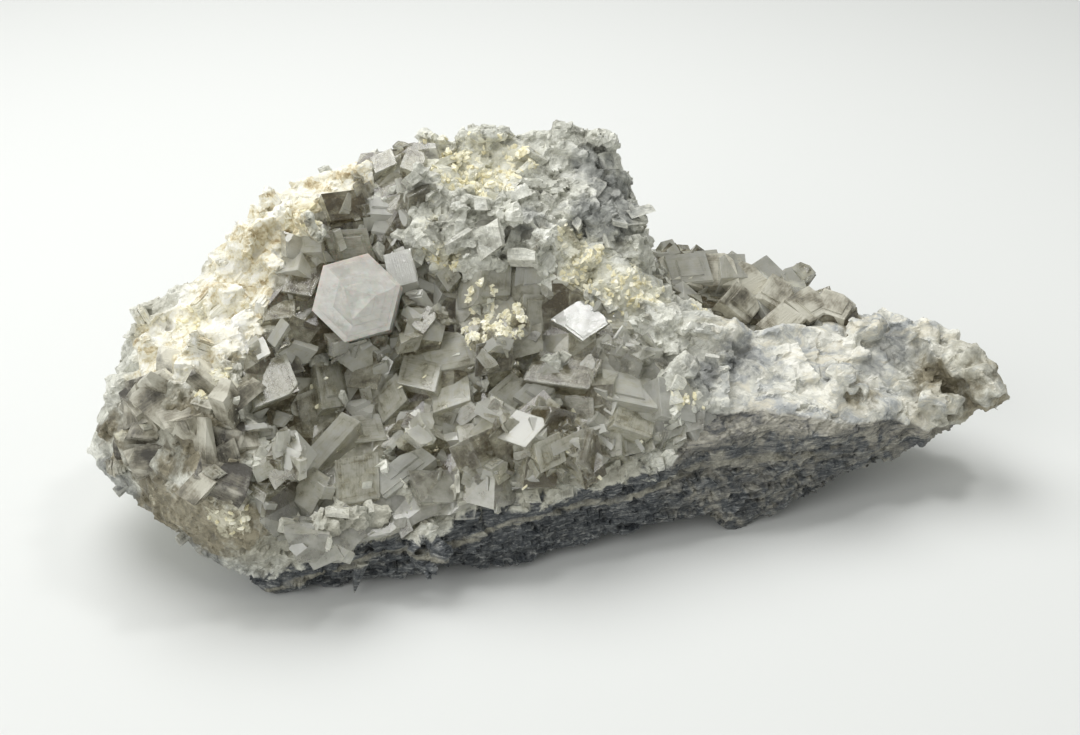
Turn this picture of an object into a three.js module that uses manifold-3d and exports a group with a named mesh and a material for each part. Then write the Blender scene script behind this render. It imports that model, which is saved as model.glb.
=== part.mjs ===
// Dolomite specimen: a broken piece of grey dolomite rock on a dark bedded base,
// with a pocket of rhombohedral dolomite crystals in its front slope, a second
// pocket behind its right arm, and one pale tabular calcite crystal.
// Millimetres, +Z up, +X along the length. The rock stands on four ground feet.
import * as THREE from "three";
import { ConvexGeometry } from "three/addons/geometries/ConvexGeometry.js";
import { mergeVertices } from "three/addons/utils/BufferGeometryUtils.js";
import Module from "manifold-3d";

const wasm = await Module();
wasm.setup();

// ---- driving dimensions ----------------------------------------------------

const gap = 0.3; // clear space between a crust or crystal and what carries it
const crustThickness = 1.8; // base layer that joins the crystals of one pocket
const stationStep = 6.2; // spacing of the rock's cross-sections
const lumpHeight = 2.6; // relief of the broken rock surface
const lumpSize = 15; // width of one broken lump
const breakHeight = 4.5; // relief of the wide breaks on the back
const breakSize = 30; // width of one of them
const beddingStep = 5.2; // thickness of one bed in the dark base
const beddingDepth = 2.2; // how far one bed stands out past the next
const cleavageAngle = 101.9; // between two edges at a blunt corner of dolomite
const blockMatch = 0.75; // least likeness of a block's direction and the skin's
const edgeGrowth = 1.1; // how much longer half an edge gets as faces move out by 1

const leftTip = [-99, -15, 19];
const rightTip = [105, 6, 23];

// Lines that run along the rock from its left tip to its right tip, in order
// round its section. Each point is [x, y, z]; y grows away from the front.
const lines = {
  sole: [
    [-85, -12, 17], [-70, -8, 9], [-50, 0, 5], [-20, 5, 5], [20, 6, 5],
    [50, 6, 6], [75, 8, 13], [95, 8, 19],
  ],
  toe: [
    [-92, -22, 18], [-82, -31, 12], [-71, -36, 8], [-62, -38, 5], [-57, -40, -2],
    [-52, -38, 1], [-37, -38, 2], [-22, -35, 2], [-4, -31, 2], [13, -24, 4],
    [24, -22, 5], [38, -18, 4], [43, -17, -1], [47, -15, -1], [53, -13, 4],
    [70, -8, 9], [79, -5, 12], [92, 0, 15], [100, 3, 18],
  ],
  band: [
    [-96, -16, 22], [-87, -25, 21], [-78, -35, 17], [-62, -42, 11],
    [-49, -42, 8], [-35, -41, 11], [-25, -38, 12], [-14, -35, 15], [4, -29, 16],
    [13, -26, 18], [23, -23, 21], [34, -19, 24], [47, -16, 25], [66, -12, 23],
    [80, -6, 18], [94, 1, 16],
  ],
  apron: [
    [-89, -22, 27], [-80, -31, 28], [-68, -43, 28], [-58, -44, 24],
    [-49, -40, 17], [-35, -36, 16], [-23, -33, 17], [-8, -29, 20], [4, -26, 21],
    [17, -22, 23], [28, -18, 27], [39, -13, 28], [52, -12, 27], [68, -8, 25],
    [81, -2, 21], [94, 3, 18],
  ],
  basin: [
    [-89, -15, 33], [-78, -24, 40], [-68, -31, 42], [-60, -29, 41],
    [-53, -16, 29], [-41, -11, 26], [-27, -10, 28], [-13, -9, 29], [0, -9, 31],
    [13, -8, 32], [24, -9, 32], [35, -4, 32], [49, -2, 32], [68, 4, 29],
    [82, 7, 25], [95, 8, 21],
  ],
  brow: [
    [-91, -5, 34], [-82, -5, 42], [-74, -4, 44], [-61, 2, 50], [-53, 12, 57],
    [-42, 17, 59], [-31, 19, 61], [-20, 17, 57], [-9, 16, 55], [4, 14, 51],
    [18, 10, 46], [27, 9, 42], [38, 8, 40], [50, 10, 36], [70, 16, 32],
    [84, 15, 29], [96, 14, 25],
  ],
  pan: [
    [-91, 2, 37], [-76, 8, 47], [-62, 12, 60], [-47, 22, 65], [-32, 26, 67],
    [-20, 28, 69], [-5, 28, 66], [8, 30, 67], [16, 27, 62], [23, 18, 47],
    [34, 16, 37], [47, 18, 30], [59, 20, 29], [70, 22, 33], [84, 20, 31],
    [96, 17, 26],
  ],
  crest: [
    [-99, -4, 23], [-95, 5, 32], [-86, 10, 43], [-71, 16, 53], [-61, 22, 63],
    [-52, 26, 67], [-39, 30, 69], [-25, 33, 73], [-9, 35, 73], [-2, 36, 71],
    [8, 37, 74], [17, 38, 71], [21, 36, 60], [25, 32, 46], [30, 30, 40],
    [46, 30, 36], [60, 29, 34], [71, 27, 34], [85, 25, 31], [95, 22, 26],
    [103, 15, 24],
  ],
  nape: [
    [-95, 6, 24], [-80, 24, 34], [-60, 40, 46], [-35, 46, 56], [-5, 50, 58],
    [14, 50, 52], [24, 45, 38], [45, 42, 28], [70, 36, 24], [90, 28, 22],
    [102, 16, 22],
  ],
  heel: [
    [-94, 2, 20], [-80, 20, 14], [-60, 36, 6], [-47, 41, -3], [-36, 43, -3],
    [-24, 44, 3], [2, 46, 4], [16, 44, 2], [24, 42, -3], [36, 40, -3], [46, 37, 3],
    [60, 32, 7], [80, 24, 14], [96, 15, 19],
  ],
};

// How many mesh steps lie between each line and the next one round the section.
const steps = {
  sole: 2, toe: 3, band: 2, apron: 4, basin: 5,
  brow: 3, pan: 2, crest: 3, nape: 4, heel: 2,
};

// A thin dark spike that hangs from the front edge down to the ground.
const spike = { at: [-38, -37], width: 3.5, depth: 2.5, height: 9, tip: 0.3 };

// Small holes in the right arm: middle, half sizes, height angle of the mouth.
const pits = [
  { at: [72, 16, 34], size: [3.5, 3.5, 4] },
  { at: [69, 2, 25], size: [3, 4, 5] },
  { at: [92, 5, 22], size: [5, 3.5, 4] },
];

// Each crystal pocket: its outline seen from the front as [x, z] round it, the
// depths between which its crystals grow, and how far apart their middles are.
const frontPocket = {
  outline: [
    [-44, 64], [-40, 72], [-24, 74], [-20, 64], [-8, 63], [0, 57], [4, 50],
    [11, 46], [17, 42], [24, 38], [29, 34], [36, 31], [35, 27], [25, 25],
    [12, 23], [-2, 21], [-15, 18], [-29, 15], [-43, 14], [-53, 16], [-56, 22],
    [-55, 30], [-57, 38], [-61, 45], [-57, 52], [-54, 58], [-49, 63],
  ],
  depth: [-60, 30],
  spacing: 7.1,
};
const backPocket = {
  outline: [[28, 30], [28, 52], [68, 46], [76, 34], [66, 24], [48, 26]],
  depth: [20, 48],
  spacing: 8.4,
};

// Crystals of the front pocket that stand out. at is the middle of the outer
// face, size its two edges and the depth, facing the azimuth and height angle it
// looks to, and spin its turn about that direction.
const frontCrystals = [
  { at: [-49, -4, 43], size: [9.5, 9, 9], facing: [15, 75], spin: 275 },
  { at: [-56, -4, 48], size: [6.5, 6.5, 6], facing: [45, 80], spin: 235 },
  { at: [-52, 3, 51], size: [6, 6, 5], facing: [30, 60], spin: 230 },
  { at: [-54, 9, 57], size: [4.5, 5, 7], facing: [45, 25], spin: 145 },
  { at: [-50, 10, 58], size: [5, 5, 6], facing: [-30, 45], spin: 15 },
  { at: [-42, 12, 56], size: [9, 8, 7], facing: [10, 10], spin: 0 },
  { at: [-20, 7, 51], size: [4, 4, 6], facing: [0, 40], spin: 125 },
  { at: [-15, 4, 49], size: [7, 7, 6], facing: [-55, 25], spin: 290 },
  { at: [-10, 6, 51], size: [7.5, 7, 6], facing: [35, 35], spin: 65 },
  { at: [-10, -1, 42], size: [13, 12, 9], facing: [-35, 65], spin: 325 },
  { at: [5, -9, 36], size: [9.5, 14, 6], facing: [10, 75], spin: 240 },
  { at: [9, 1, 43], size: [8.5, 8, 5], facing: [25, 60], spin: 200 },
  { at: [19, -12, 33], size: [10.5, 9, 6], facing: [45, 75], spin: 130 },
  { at: [20, -18, 29], size: [8.5, 8.5, 6], facing: [70, 65], spin: 190 },
  { at: [29, -14, 32], size: [8, 8, 7], facing: [30, 35], spin: 335 },
  { at: [-19, -12, 32], size: [8.5, 8, 5], facing: [-40, 75], spin: 315 },
  { at: [-17, -15, 30], size: [6, 6, 6], facing: [-15, 30], spin: 45 },
  { at: [-45, -11, 34], size: [10, 8.5, 6], facing: [65, 35], spin: 55 },
  { at: [-26, -8, 35], size: [8.5, 8.5, 5], facing: [-10, 70], spin: 170 },
  { at: [-32, -12, 31], size: [7, 7, 6], facing: [-40, 45], spin: 325 },
  { at: [-56, -20, 40], size: [10, 10, 9], facing: [30, 75], spin: 265 },
  { at: [-50, -17, 31], size: [7.5, 7, 6], facing: [45, 30], spin: 75 },
  { at: [-44, -24, 28], size: [13, 4, 8], facing: [0, 45], spin: 50 },
  { at: [-37, -18, 27], size: [6.5, 6, 6], facing: [10, 55], spin: 180 },
  { at: [-38, -31, 23], size: [9.5, 9, 8], facing: [25, 50], spin: 75 },
  { at: [-14, -21, 27], size: [7, 6.5, 6], facing: [25, 80], spin: 255 },
  { at: [-29, -28, 23], size: [13, 5, 7], facing: [0, 50], spin: 40 },
  { at: [-35, 26, 70], size: [5.5, 5, 5], facing: [-25, 70], spin: 310 },
  { at: [-28, 24, 71], size: [5, 5, 6], facing: [-25, 55], spin: 350 },
  { at: [-35, 19, 63], size: [7.5, 8, 6], facing: [35, 65], spin: 55 },
  { at: [-6, -12, 33], size: [7, 6, 6], facing: [20, 50], spin: 30 },
  { at: [0, -12, 34], size: [10, 5, 6], facing: [10, 45], spin: 40 },
  { at: [8, -14, 30], size: [8, 7, 6], facing: [-30, 40], spin: 10 },
  { at: [-1, 3, 44], size: [8, 8, 7], facing: [40, 30], spin: 60 },
  { at: [-20, -4, 38], size: [10, 8, 6], facing: [-15, 50], spin: 20 },
  { at: [-1, 9, 50], size: [6, 9, 6], facing: [10, 30], spin: 80 },
];
const backCrystals = [
  { at: [35, 27, 43], size: [9, 7, 8], facing: [-10, 40], spin: 10 },
  { at: [40, 29, 43], size: [5, 7, 8], facing: [-10, 45], spin: 10 },
  { at: [45, 28, 43], size: [6, 7, 8], facing: [40, 50], spin: 60 },
  { at: [53, 31, 40], size: [7, 6, 8], facing: [15, 60], spin: 30 },
  { at: [60, 31, 38], size: [6, 6, 8], facing: [45, 50], spin: 70 },
  { at: [55, 22, 33], size: [8, 10, 8], facing: [60, 45], spin: 150 },
  { at: [48, 24, 36], size: [6, 7, 7], facing: [10, 30], spin: 40 },
  { at: [64, 24, 34], size: [6, 11, 6], facing: [75, 50], spin: 140 },
];

// Smaller crystals that fill a pocket: edge lengths, depth and how far they
// stand out of the base layer.
const fillEdge = [6, 10.5];
const fillDepth = [6, 9];
const fillProud = [1.5, 4.5];
const fillInset = 2; // how far inside the outline their middles stay
const fillTilt = 0.9; // how far they lean from the wall's own direction

// Areas of broken rock where cleaved blocks of one grain stand half out of the
// surface: middle and radius of the area, block size, direction, spin, count and
// how far they stand out.
const grains = [
  {
    at: [-74, -28, 34], radius: 20, size: [10, 8, 7],
    facing: [-20, 45], spin: 20, count: 7, proud: 0.8,
  },
  {
    at: [-80, -8, 44], radius: 16, size: [9, 8, 5],
    facing: [-35, 60], spin: 60, count: 5, proud: 0.5,
  },
  {
    at: [-62, 8, 56], radius: 20, size: [13, 6, 4],
    facing: [-30, 50], spin: 50, count: 6, proud: 0.4,
  },
  {
    at: [-44, 28, 68], radius: 13, size: [10, 6, 4],
    facing: [-10, 65], spin: 20, count: 3, proud: 0.2,
  },
  {
    at: [5, 26, 64], radius: 19, size: [9, 8, 6],
    facing: [15, 50], spin: 35, count: 6, proud: 0.2,
  },
  {
    at: [34, 0, 37], radius: 18, size: [10, 8, 5],
    facing: [5, 60], spin: 340, count: 5, proud: 0.8,
  },
  {
    at: [62, -4, 31], radius: 18, size: [11, 9, 5],
    facing: [0, 65], spin: 10, count: 3, proud: 0.6,
  },
  {
    at: [84, 8, 28], radius: 14, size: [9, 7, 5],
    facing: [20, 60], spin: 30, count: 3, proud: 0.4,
  },
  {
    at: [-90, 0, 30], radius: 16, size: [9, 8, 6],
    facing: [-80, 30], spin: 10, count: 3, proud: 0.8,
  },
  {
    at: [-36, 46, 44], radius: 26, size: [12, 11, 8],
    facing: [185, 20], spin: 25, count: 4, proud: 0.6,
  },
  {
    at: [8, 46, 38], radius: 24, size: [11, 10, 8],
    facing: [165, 15], spin: 60, count: 3, proud: 0.6,
  },
];

// The pale calcite: a flattened rhombohedron cut by a six-sided prism.
const calcite = {
  at: [-39, -2, 50],
  facing: [0, 33],
  spin: 16, // turn of the first of its three low ridges
  radius: 9.8,
  thickness: 10,
  faceSlope: 5, // degrees from the flat
};

// ---- deterministic noise ---------------------------------------------------

// A number from 0 to 1 that belongs to the grid cell (i, j, k) and a channel.
function cellValue(i, j, k, channel) {
  let h = Math.imul(i, 73856093) ^ Math.imul(j, 19349663);
  h ^= Math.imul(k, 83492791) ^ Math.imul(channel + 1, 2654435761);
  h = Math.imul(h ^ (h >>> 15), 2246822519);
  h = Math.imul(h ^ (h >>> 13), 3266489917);
  return ((h ^ (h >>> 16)) >>> 0) / 4294967296;
}

// Broken-rock relief, -1 to 1: space is split into cells, and each cell is a
// flat chip with a tilt of its own.
function chipRelief(p, size, channel) {
  const base = [p.x / size, p.y / size, p.z / size];
  const cell = base.map(Math.floor);
  let nearest = Infinity;
  let relief = 0;
  for (let i = -1; i <= 1; i++) {
    for (let j = -1; j <= 1; j++) {
      for (let k = -1; k <= 1; k++) {
        const c = [cell[0] + i, cell[1] + j, cell[2] + k];
        const value = (n) => cellValue(c[0], c[1], c[2], channel * 8 + n);
        const to = [0, 1, 2].map((n) => base[n] - c[n] - value(n));
        const distance = Math.hypot(...to);
        if (distance < nearest) {
          nearest = distance;
          const tilt = [3, 4, 5].map((n) => value(n) * 2 - 1);
          const slope = to[0] * tilt[0] + to[1] * tilt[1] + to[2] * tilt[2];
          relief = 0.9 * slope + 0.8 * (value(6) - 0.5);
        }
      }
    }
  }
  return THREE.MathUtils.clamp(relief, -1, 1);
}

// ---- the rock's skin -------------------------------------------------------

// The [y, z] of a line at x, straight between its points and the two tips.
function onLine(line, x) {
  const points = [leftTip, ...line, rightTip];
  let n = 1;
  while (n < points.length - 1 && points[n][0] < x) n++;
  const [a, b] = [points[n - 1], points[n]];
  const t = THREE.MathUtils.clamp((x - a[0]) / (b[0] - a[0]), 0, 1);
  return [a[1] + t * (b[1] - a[1]), a[2] + t * (b[2] - a[2])];
}

// Points round the section at x, each with the name of the span it lies on.
function section(x) {
  const names = Object.keys(lines);
  const ring = [];
  names.forEach((name, n) => {
    const from = onLine(lines[name], x);
    const to = onLine(lines[names[(n + 1) % names.length]], x);
    for (let s = 0; s < steps[name]; s++) {
      const t = s / steps[name];
      const y = from[0] + t * (to[0] - from[0]);
      const z = from[1] + t * (to[1] - from[1]);
      ring.push({ span: name, at: new THREE.Vector3(x, y, z) });
    }
  });
  return ring;
}

// Relief of the surface at a point: broken lumps all over, wide breaks on the
// back, and beds that stand out as ledges along the dark base. It fades towards
// the tips.
function relief(point, span) {
  const fromTip = Math.min(point.x - leftTip[0], rightTip[0] - point.x);
  const fade = THREE.MathUtils.clamp(fromTip / 14, 0.15, 1);
  const lumps = chipRelief(point, lumpSize, 0) * lumpHeight;
  const small = chipRelief(point, lumpSize / 2.3, 1) * lumpHeight * 0.5;
  if (span === "sole") return 0.5 * small * fade;
  if (span === "nape" || span === "heel") {
    return (chipRelief(point, breakSize, 3) * breakHeight + lumps) * fade;
  }
  if (span !== "toe") return (lumps + small) * fade;
  const height = point.z - 0.1 * (point.x + 57) - 0.05 * point.y;
  const bed = height / beddingStep + 0.35 * chipRelief(point, 22, 2);
  const ledge = (bed - Math.floor(bed) - 0.5) * beddingDepth;
  return (ledge + small) * fade;
}

// The rock's surface as rings of points with their normals, moved out by grow.
function skinRings(grow) {
  const count = Math.round((rightTip[0] - leftTip[0]) / stationStep);
  const rings = [];
  for (let n = 1; n < count; n++) {
    const x = leftTip[0] + (n / count) * (rightTip[0] - leftTip[0]);
    rings.push(section(x));
  }
  const around = rings[0].length;
  const at = (n, k) => rings[n][(k + around) % around].at;
  return rings.map((ring, n) =>
    ring.map(({ span, at: here }, k) => {
      const along = at(Math.min(n + 1, rings.length - 1), k).clone();
      along.sub(at(Math.max(n - 1, 0), k));
      const across = at(n, k + 1).clone().sub(at(n, k - 1));
      const normal = along.cross(across).normalize();
      const out = grow + relief(here, span);
      return { span, normal, at: here.clone().addScaledVector(normal, out) };
    }),
  );
}

// The rock as a closed mesh, its surface moved out by grow.
function rockSkin(grow) {
  const rings = skinRings(grow);
  const around = rings[0].length;
  const points = rings.flat().map((p) => p.at);
  const first = points.length;
  const reach = new THREE.Vector3(grow, 0, 0);
  points.push(new THREE.Vector3(...leftTip).sub(reach));
  points.push(new THREE.Vector3(...rightTip).add(reach));
  const faces = [];
  const last = (rings.length - 1) * around;
  for (let k = 0; k < around; k++) {
    const next = (k + 1) % around;
    faces.push(first, k, next);
    faces.push(first + 1, last + next, last + k);
    for (let n = 0; n + 1 < rings.length; n++) {
      const [a, b] = [n * around + k, n * around + next];
      faces.push(a, b + around, b, a, a + around, b + around);
    }
  }
  const geometry = new THREE.BufferGeometry().setFromPoints(points);
  geometry.setIndex(faces);
  return geometry;
}

// ---- solids and back -------------------------------------------------------

function solidOf(geometry) {
  const plain = geometry.index ? geometry.toNonIndexed() : geometry.clone();
  const bare = new THREE.BufferGeometry();
  bare.setAttribute("position", plain.getAttribute("position"));
  const merged = mergeVertices(bare, 1e-4);
  const vertProperties = merged.attributes.position.array;
  const triVerts = new Uint32Array(merged.index.array);
  const mesh = new wasm.Mesh({ numProp: 3, vertProperties, triVerts });
  return new wasm.Manifold(mesh);
}

function geometryOf(solid) {
  const mesh = solid.getMesh();
  const geometry = new THREE.BufferGeometry();
  const attribute = new THREE.BufferAttribute(mesh.vertProperties, 3);
  geometry.setAttribute("position", attribute);
  geometry.setIndex(new THREE.BufferAttribute(mesh.triVerts, 1));
  const faceted = geometry.toNonIndexed();
  faceted.computeVertexNormals();
  return faceted;
}

const unite = (solids) => solids.reduce((all, one) => all.add(one));

// The largest single body of a solid.
function mainBody(solid) {
  const bodies = solid.decompose();
  return bodies.reduce((a, b) => (a.volume() > b.volume() ? a : b));
}

// ---- crystals --------------------------------------------------------------

// The direction of an azimuth (0 is the front, 90 the right) and a height angle.
function directionOf([azimuth, height]) {
  const [a, h] = [azimuth, height].map(THREE.MathUtils.degToRad);
  const level = Math.cos(h);
  return new THREE.Vector3(Math.sin(a) * level, -Math.cos(a) * level, Math.sin(h));
}

// Turns +Z to the normal, after a spin round it, and moves the origin to at.
function seat(at, normal, spin) {
  const right = new THREE.Vector3(-normal.y, normal.x, 0).normalize();
  const up = normal.clone().cross(right);
  const turn = new THREE.Matrix4().makeRotationZ(THREE.MathUtils.degToRad(spin));
  return new THREE.Matrix4().makeBasis(right, up, normal).setPosition(at).multiply(turn);
}

// A rhombohedron with edges a and b round its outer face and c going down from
// it, grown all round by grow. The origin is the middle of the ungrown outer
// face, which looks along +Z.
function rhomb(size, grow = 0) {
  const [a, b, c] = size.map((edge) => edge + 2 * edgeGrowth * grow);
  const blunt = THREE.MathUtils.degToRad(cleavageAngle);
  const [cos, sin] = [Math.cos(blunt), Math.sin(blunt)];
  const lean = [cos, (cos * (1 - cos)) / sin];
  const rise = Math.sqrt(1 - lean[0] ** 2 - lean[1] ** 2);
  const shear = new THREE.Matrix4().makeBasis(
    new THREE.Vector3(a, 0, 0),
    new THREE.Vector3(b * cos, b * sin, 0),
    new THREE.Vector3(-c * lean[0], -c * lean[1], c * rise),
  );
  const lift = (edgeGrowth * grow) / c - 0.5;
  return new THREE.BoxGeometry(1, 1, 1).translate(0, 0, lift).applyMatrix4(shear);
}

function crystal({ at, size, facing, spin }) {
  const place = seat(new THREE.Vector3(...at), directionOf(facing), spin);
  return solidOf(rhomb(size).applyMatrix4(place));
}

// The pale crystal grown all round by grow: three low faces meet at its top and
// three at its bottom, between the six sides of a prism.
function calciteShape(grow) {
  const drop = (calcite.radius + grow) * Math.tan(THREE.MathUtils.degToRad(calcite.faceSlope));
  const half = calcite.thickness / 2 + grow;
  const points = [new THREE.Vector3(0, 0, half), new THREE.Vector3(0, 0, -half)];
  for (let corner = 0; corner < 6; corner++) {
    const turn = (corner * Math.PI) / 3;
    const [x, y] = [Math.cos(turn), Math.sin(turn)].map((v) => v * (calcite.radius + grow));
    const ridge = corner % 2 === 0;
    points.push(new THREE.Vector3(x, y, half - (ridge ? drop / 2 : drop)));
    points.push(new THREE.Vector3(x, y, -half + (ridge ? drop : drop / 2)));
  }
  const place = seat(new THREE.Vector3(...calcite.at), directionOf(calcite.facing), calcite.spin);
  return solidOf(new ConvexGeometry(points).applyMatrix4(place));
}

// A repeatable run of numbers from 0 to 1.
function dice(seed) {
  let n = 0;
  return () => cellValue(seed, n++, 7, 50);
}

// Blocks of one grain, half out of the rock, spread over the area's skin, each
// grown all round by grow.
function grainBlocks(grain, number, grow) {
  const roll = dice(number);
  const centre = new THREE.Vector3(...grain.at);
  const seats = skinRings(0).flat().filter((p) => p.at.distanceTo(centre) < grain.radius);
  const normal = directionOf(grain.facing);
  const usable = seats.filter((p) => p.normal.dot(normal) > blockMatch && !inPocket(p.at));
  const blocks = [];
  for (let n = 0; n < grain.count && usable.length; n++) {
    const { at } = usable.splice(Math.floor(roll() * usable.length), 1)[0];
    const size = grain.size.map((edge) => edge * (0.7 + 0.6 * roll()));
    const place = seat(
      at.clone().addScaledVector(normal, grain.proud * (0.4 + roll())),
      directionOf(grain.facing.map((angle) => angle + 10 * (roll() - 0.5))),
      grain.spin + 10 * (roll() - 0.5),
    );
    blocks.push(solidOf(rhomb(size, grow).applyMatrix4(place)));
  }
  return blocks;
}

const allBlocks = (grow) => grains.flatMap((grain, n) => grainBlocks(grain, n, grow));

// ---- pockets ---------------------------------------------------------------

// Whether a point lies inside the outline of a pocket, as seen from the front.
function within(pocket, { x, y, z }) {
  const { outline, depth } = pocket;
  if (y < depth[0] || y > depth[1]) return false;
  let inside = false;
  outline.forEach(([ax, az], n) => {
    const [bx, bz] = outline[(n + 1) % outline.length];
    if (az > z !== bz > z && x < ((bx - ax) * (z - az)) / (bz - az) + ax) inside = !inside;
  });
  return inside;
}

// Whether a point lies inside the outline and at least the fill inset from it.
function wellWithin(pocket, { x, y, z }) {
  const shifts = [[-1, 0], [1, 0], [0, -1], [0, 1]];
  return shifts.every(([right, up]) =>
    within(pocket, { x: x + right * fillInset, y, z: z + up * fillInset }),
  );
}

const inPocket = (point) => within(frontPocket, point) || within(backPocket, point);

// The block of space in front of and behind a pocket's outline.
function pocketSpace({ outline, depth }) {
  const shape = new THREE.Shape(outline.map(([x, z]) => new THREE.Vector2(x, z)));
  const length = depth[1] - depth[0];
  const prism = new THREE.ExtrudeGeometry(shape, { depth: length, bevelEnabled: false });
  return solidOf(prism.rotateX(Math.PI / 2).translate(0, depth[1], 0));
}

// Points all over the skin, and one in the middle of each of its facets.
function skinSeats(grow) {
  const rings = skinRings(grow);
  return rings.slice(1).flatMap((ring, n) =>
    ring.flatMap((corner, k) => {
      const across = rings[n][(k + 1) % ring.length].at;
      const at = corner.at.clone().lerp(across, 0.5);
      return [corner, { at, normal: corner.normal }];
    }),
  );
}

// Crystals that fill the wall of a pocket between the ones placed by hand.
function fillCrystals(pocket, placed, seed) {
  const roll = dice(seed);
  const between = ([low, high]) => low + (high - low) * roll();
  const taken = placed.map(({ at }) => new THREE.Vector3(...at));
  const made = [];
  for (const { at, normal } of skinSeats(crustThickness)) {
    const sway = new THREE.Vector3(roll() - 0.5, roll() - 0.5, roll() - 0.5);
    const size = [between(fillEdge), between(fillEdge), between(fillDepth)];
    const [proud, spin] = [between(fillProud), 360 * roll()];
    if (!wellWithin(pocket, at)) continue;
    if (taken.some((other) => other.distanceTo(at) < pocket.spacing)) continue;
    taken.push(at);
    const facing = normal.clone().addScaledVector(sway, 2 * fillTilt).normalize();
    const place = seat(at.clone().addScaledVector(normal, proud), facing, spin);
    made.push(solidOf(rhomb(size).applyMatrix4(place)));
  }
  return made;
}

// One crust: a base layer on the pocket's wall with all its crystals, clear of
// the rock and of the blocks that stand out of it.
function crust(pocket, placed, seed) {
  const layer = solidOf(rockSkin(crustThickness)).intersect(pocketSpace(pocket));
  const crystals = [...placed.map(crystal), ...fillCrystals(pocket, placed, seed)];
  const rockRoom = unite([solidOf(rockSkin(gap)), ...allBlocks(gap)]);
  return mainBody(unite([layer, ...crystals]).subtract(rockRoom));
}

// ---- the rock --------------------------------------------------------------

function spikeFin({ at: [x, y], width, depth, height, tip }) {
  const fin = new THREE.ConeGeometry(width, height, 5).rotateX(-Math.PI / 2);
  return solidOf(fin.scale(1, depth / width, 1).translate(x, y, tip + height / 2));
}

function pit({ at, size }) {
  return solidOf(new THREE.IcosahedronGeometry(1, 1).scale(...size).translate(...at));
}

function rock() {
  const lumps = [spikeFin(spike), ...allBlocks(0)];
  const whole = unite([solidOf(rockSkin(0)), ...lumps]);
  const ground = new THREE.BoxGeometry(300, 200, 40).translate(0, 0, -20);
  return mainBody(whole.subtract(unite(pits.map(pit))).subtract(solidOf(ground)));
}

// ---- pieces ----------------------------------------------------------------

const rockColour = new THREE.MeshStandardMaterial({
  color: 0xa9a9a6, roughness: 0.85, metalness: 0,
});
const dolomiteColour = new THREE.MeshStandardMaterial({
  color: 0x8f8d80, roughness: 0.25, metalness: 0,
});
const calciteColour = new THREE.MeshStandardMaterial({
  color: 0xcdc6c1, roughness: 0.35, metalness: 0,
});

const specimen = new THREE.Group();

function addPiece(name, solid, material) {
  const piece = new THREE.Mesh(geometryOf(solid), material);
  piece.name = name;
  specimen.add(piece);
}

const frontCrust = crust(frontPocket, frontCrystals, 11);
const backCrust = crust(backPocket, backCrystals, 12);
addPiece("matrix_rock", rock(), rockColour);
addPiece("front_crystal_crust", mainBody(frontCrust.subtract(calciteShape(gap))), dolomiteColour);
addPiece("back_crystal_crust", backCrust, dolomiteColour);
addPiece("calcite_crystal", calciteShape(0), calciteColour);

// The middle of the specimen's footprint, on the ground, is the origin.
const box = new THREE.Box3().setFromObject(specimen);
const middle = box.getCenter(new THREE.Vector3());
specimen.position.set(-middle.x, -middle.y, -box.min.z);

export default specimen;
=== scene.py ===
import math
import random

import bmesh
import bpy
import numpy as np
from mathutils import Matrix, Vector, noise

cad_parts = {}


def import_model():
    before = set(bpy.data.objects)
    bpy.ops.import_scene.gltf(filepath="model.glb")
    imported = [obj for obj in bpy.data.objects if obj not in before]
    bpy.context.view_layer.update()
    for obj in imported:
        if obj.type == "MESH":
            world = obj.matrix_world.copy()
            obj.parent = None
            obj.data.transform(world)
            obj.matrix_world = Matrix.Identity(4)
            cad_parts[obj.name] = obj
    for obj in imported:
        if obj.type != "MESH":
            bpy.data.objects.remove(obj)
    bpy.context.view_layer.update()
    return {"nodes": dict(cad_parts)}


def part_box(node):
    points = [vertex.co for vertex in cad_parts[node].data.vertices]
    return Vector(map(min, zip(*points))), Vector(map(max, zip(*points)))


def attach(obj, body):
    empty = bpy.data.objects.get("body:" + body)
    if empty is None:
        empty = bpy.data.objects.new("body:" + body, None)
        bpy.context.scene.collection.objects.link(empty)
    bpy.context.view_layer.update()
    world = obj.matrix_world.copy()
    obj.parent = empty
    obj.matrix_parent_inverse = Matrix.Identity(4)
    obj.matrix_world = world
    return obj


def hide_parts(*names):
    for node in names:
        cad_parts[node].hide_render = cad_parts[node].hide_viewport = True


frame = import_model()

# Dolomite specimen: broken grey rock on a dark bedded base, two pockets of smoky rhombs
# and one pale calcite. Numbers are millimetres in the specimen's own frame unless a note
# says otherwise; meshes are in metres in the row frame.

mm = 0.001
calciteAt = (-39, -2, 50)  # middle of the pale crystal in the specimen's own frame
low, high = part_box("calcite_crystal")
ownOrigin = (low + high) / 2 - mm * Vector(calciteAt)
print("stage: own origin in the row frame", [round(v / mm, 2) for v in ownOrigin])


def deselectAll():
    for thing in list(bpy.context.selected_objects):
        thing.select_set(False)


def pick(piece):
    deselectAll()
    piece.select_set(True)
    bpy.context.view_layer.objects.active = piece


def world(point):
    return ownOrigin + mm * Vector(point)


def own(points):
    # row-frame metres to the specimen's own millimetres, for an array of points
    return (np.asarray(points) - np.array(ownOrigin)) / mm


def applyAll(piece):
    pick(piece)
    for modifier in list(piece.modifiers):
        bpy.ops.object.modifier_apply(modifier=modifier.name)


def bevelEdges(piece, width, segments, angle):
    bevel = piece.modifiers.new("edge", "BEVEL")
    bevel.width = width
    bevel.segments = segments
    bevel.limit_method = "ANGLE"
    bevel.angle_limit = math.radians(angle)
    applyAll(piece)


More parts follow.
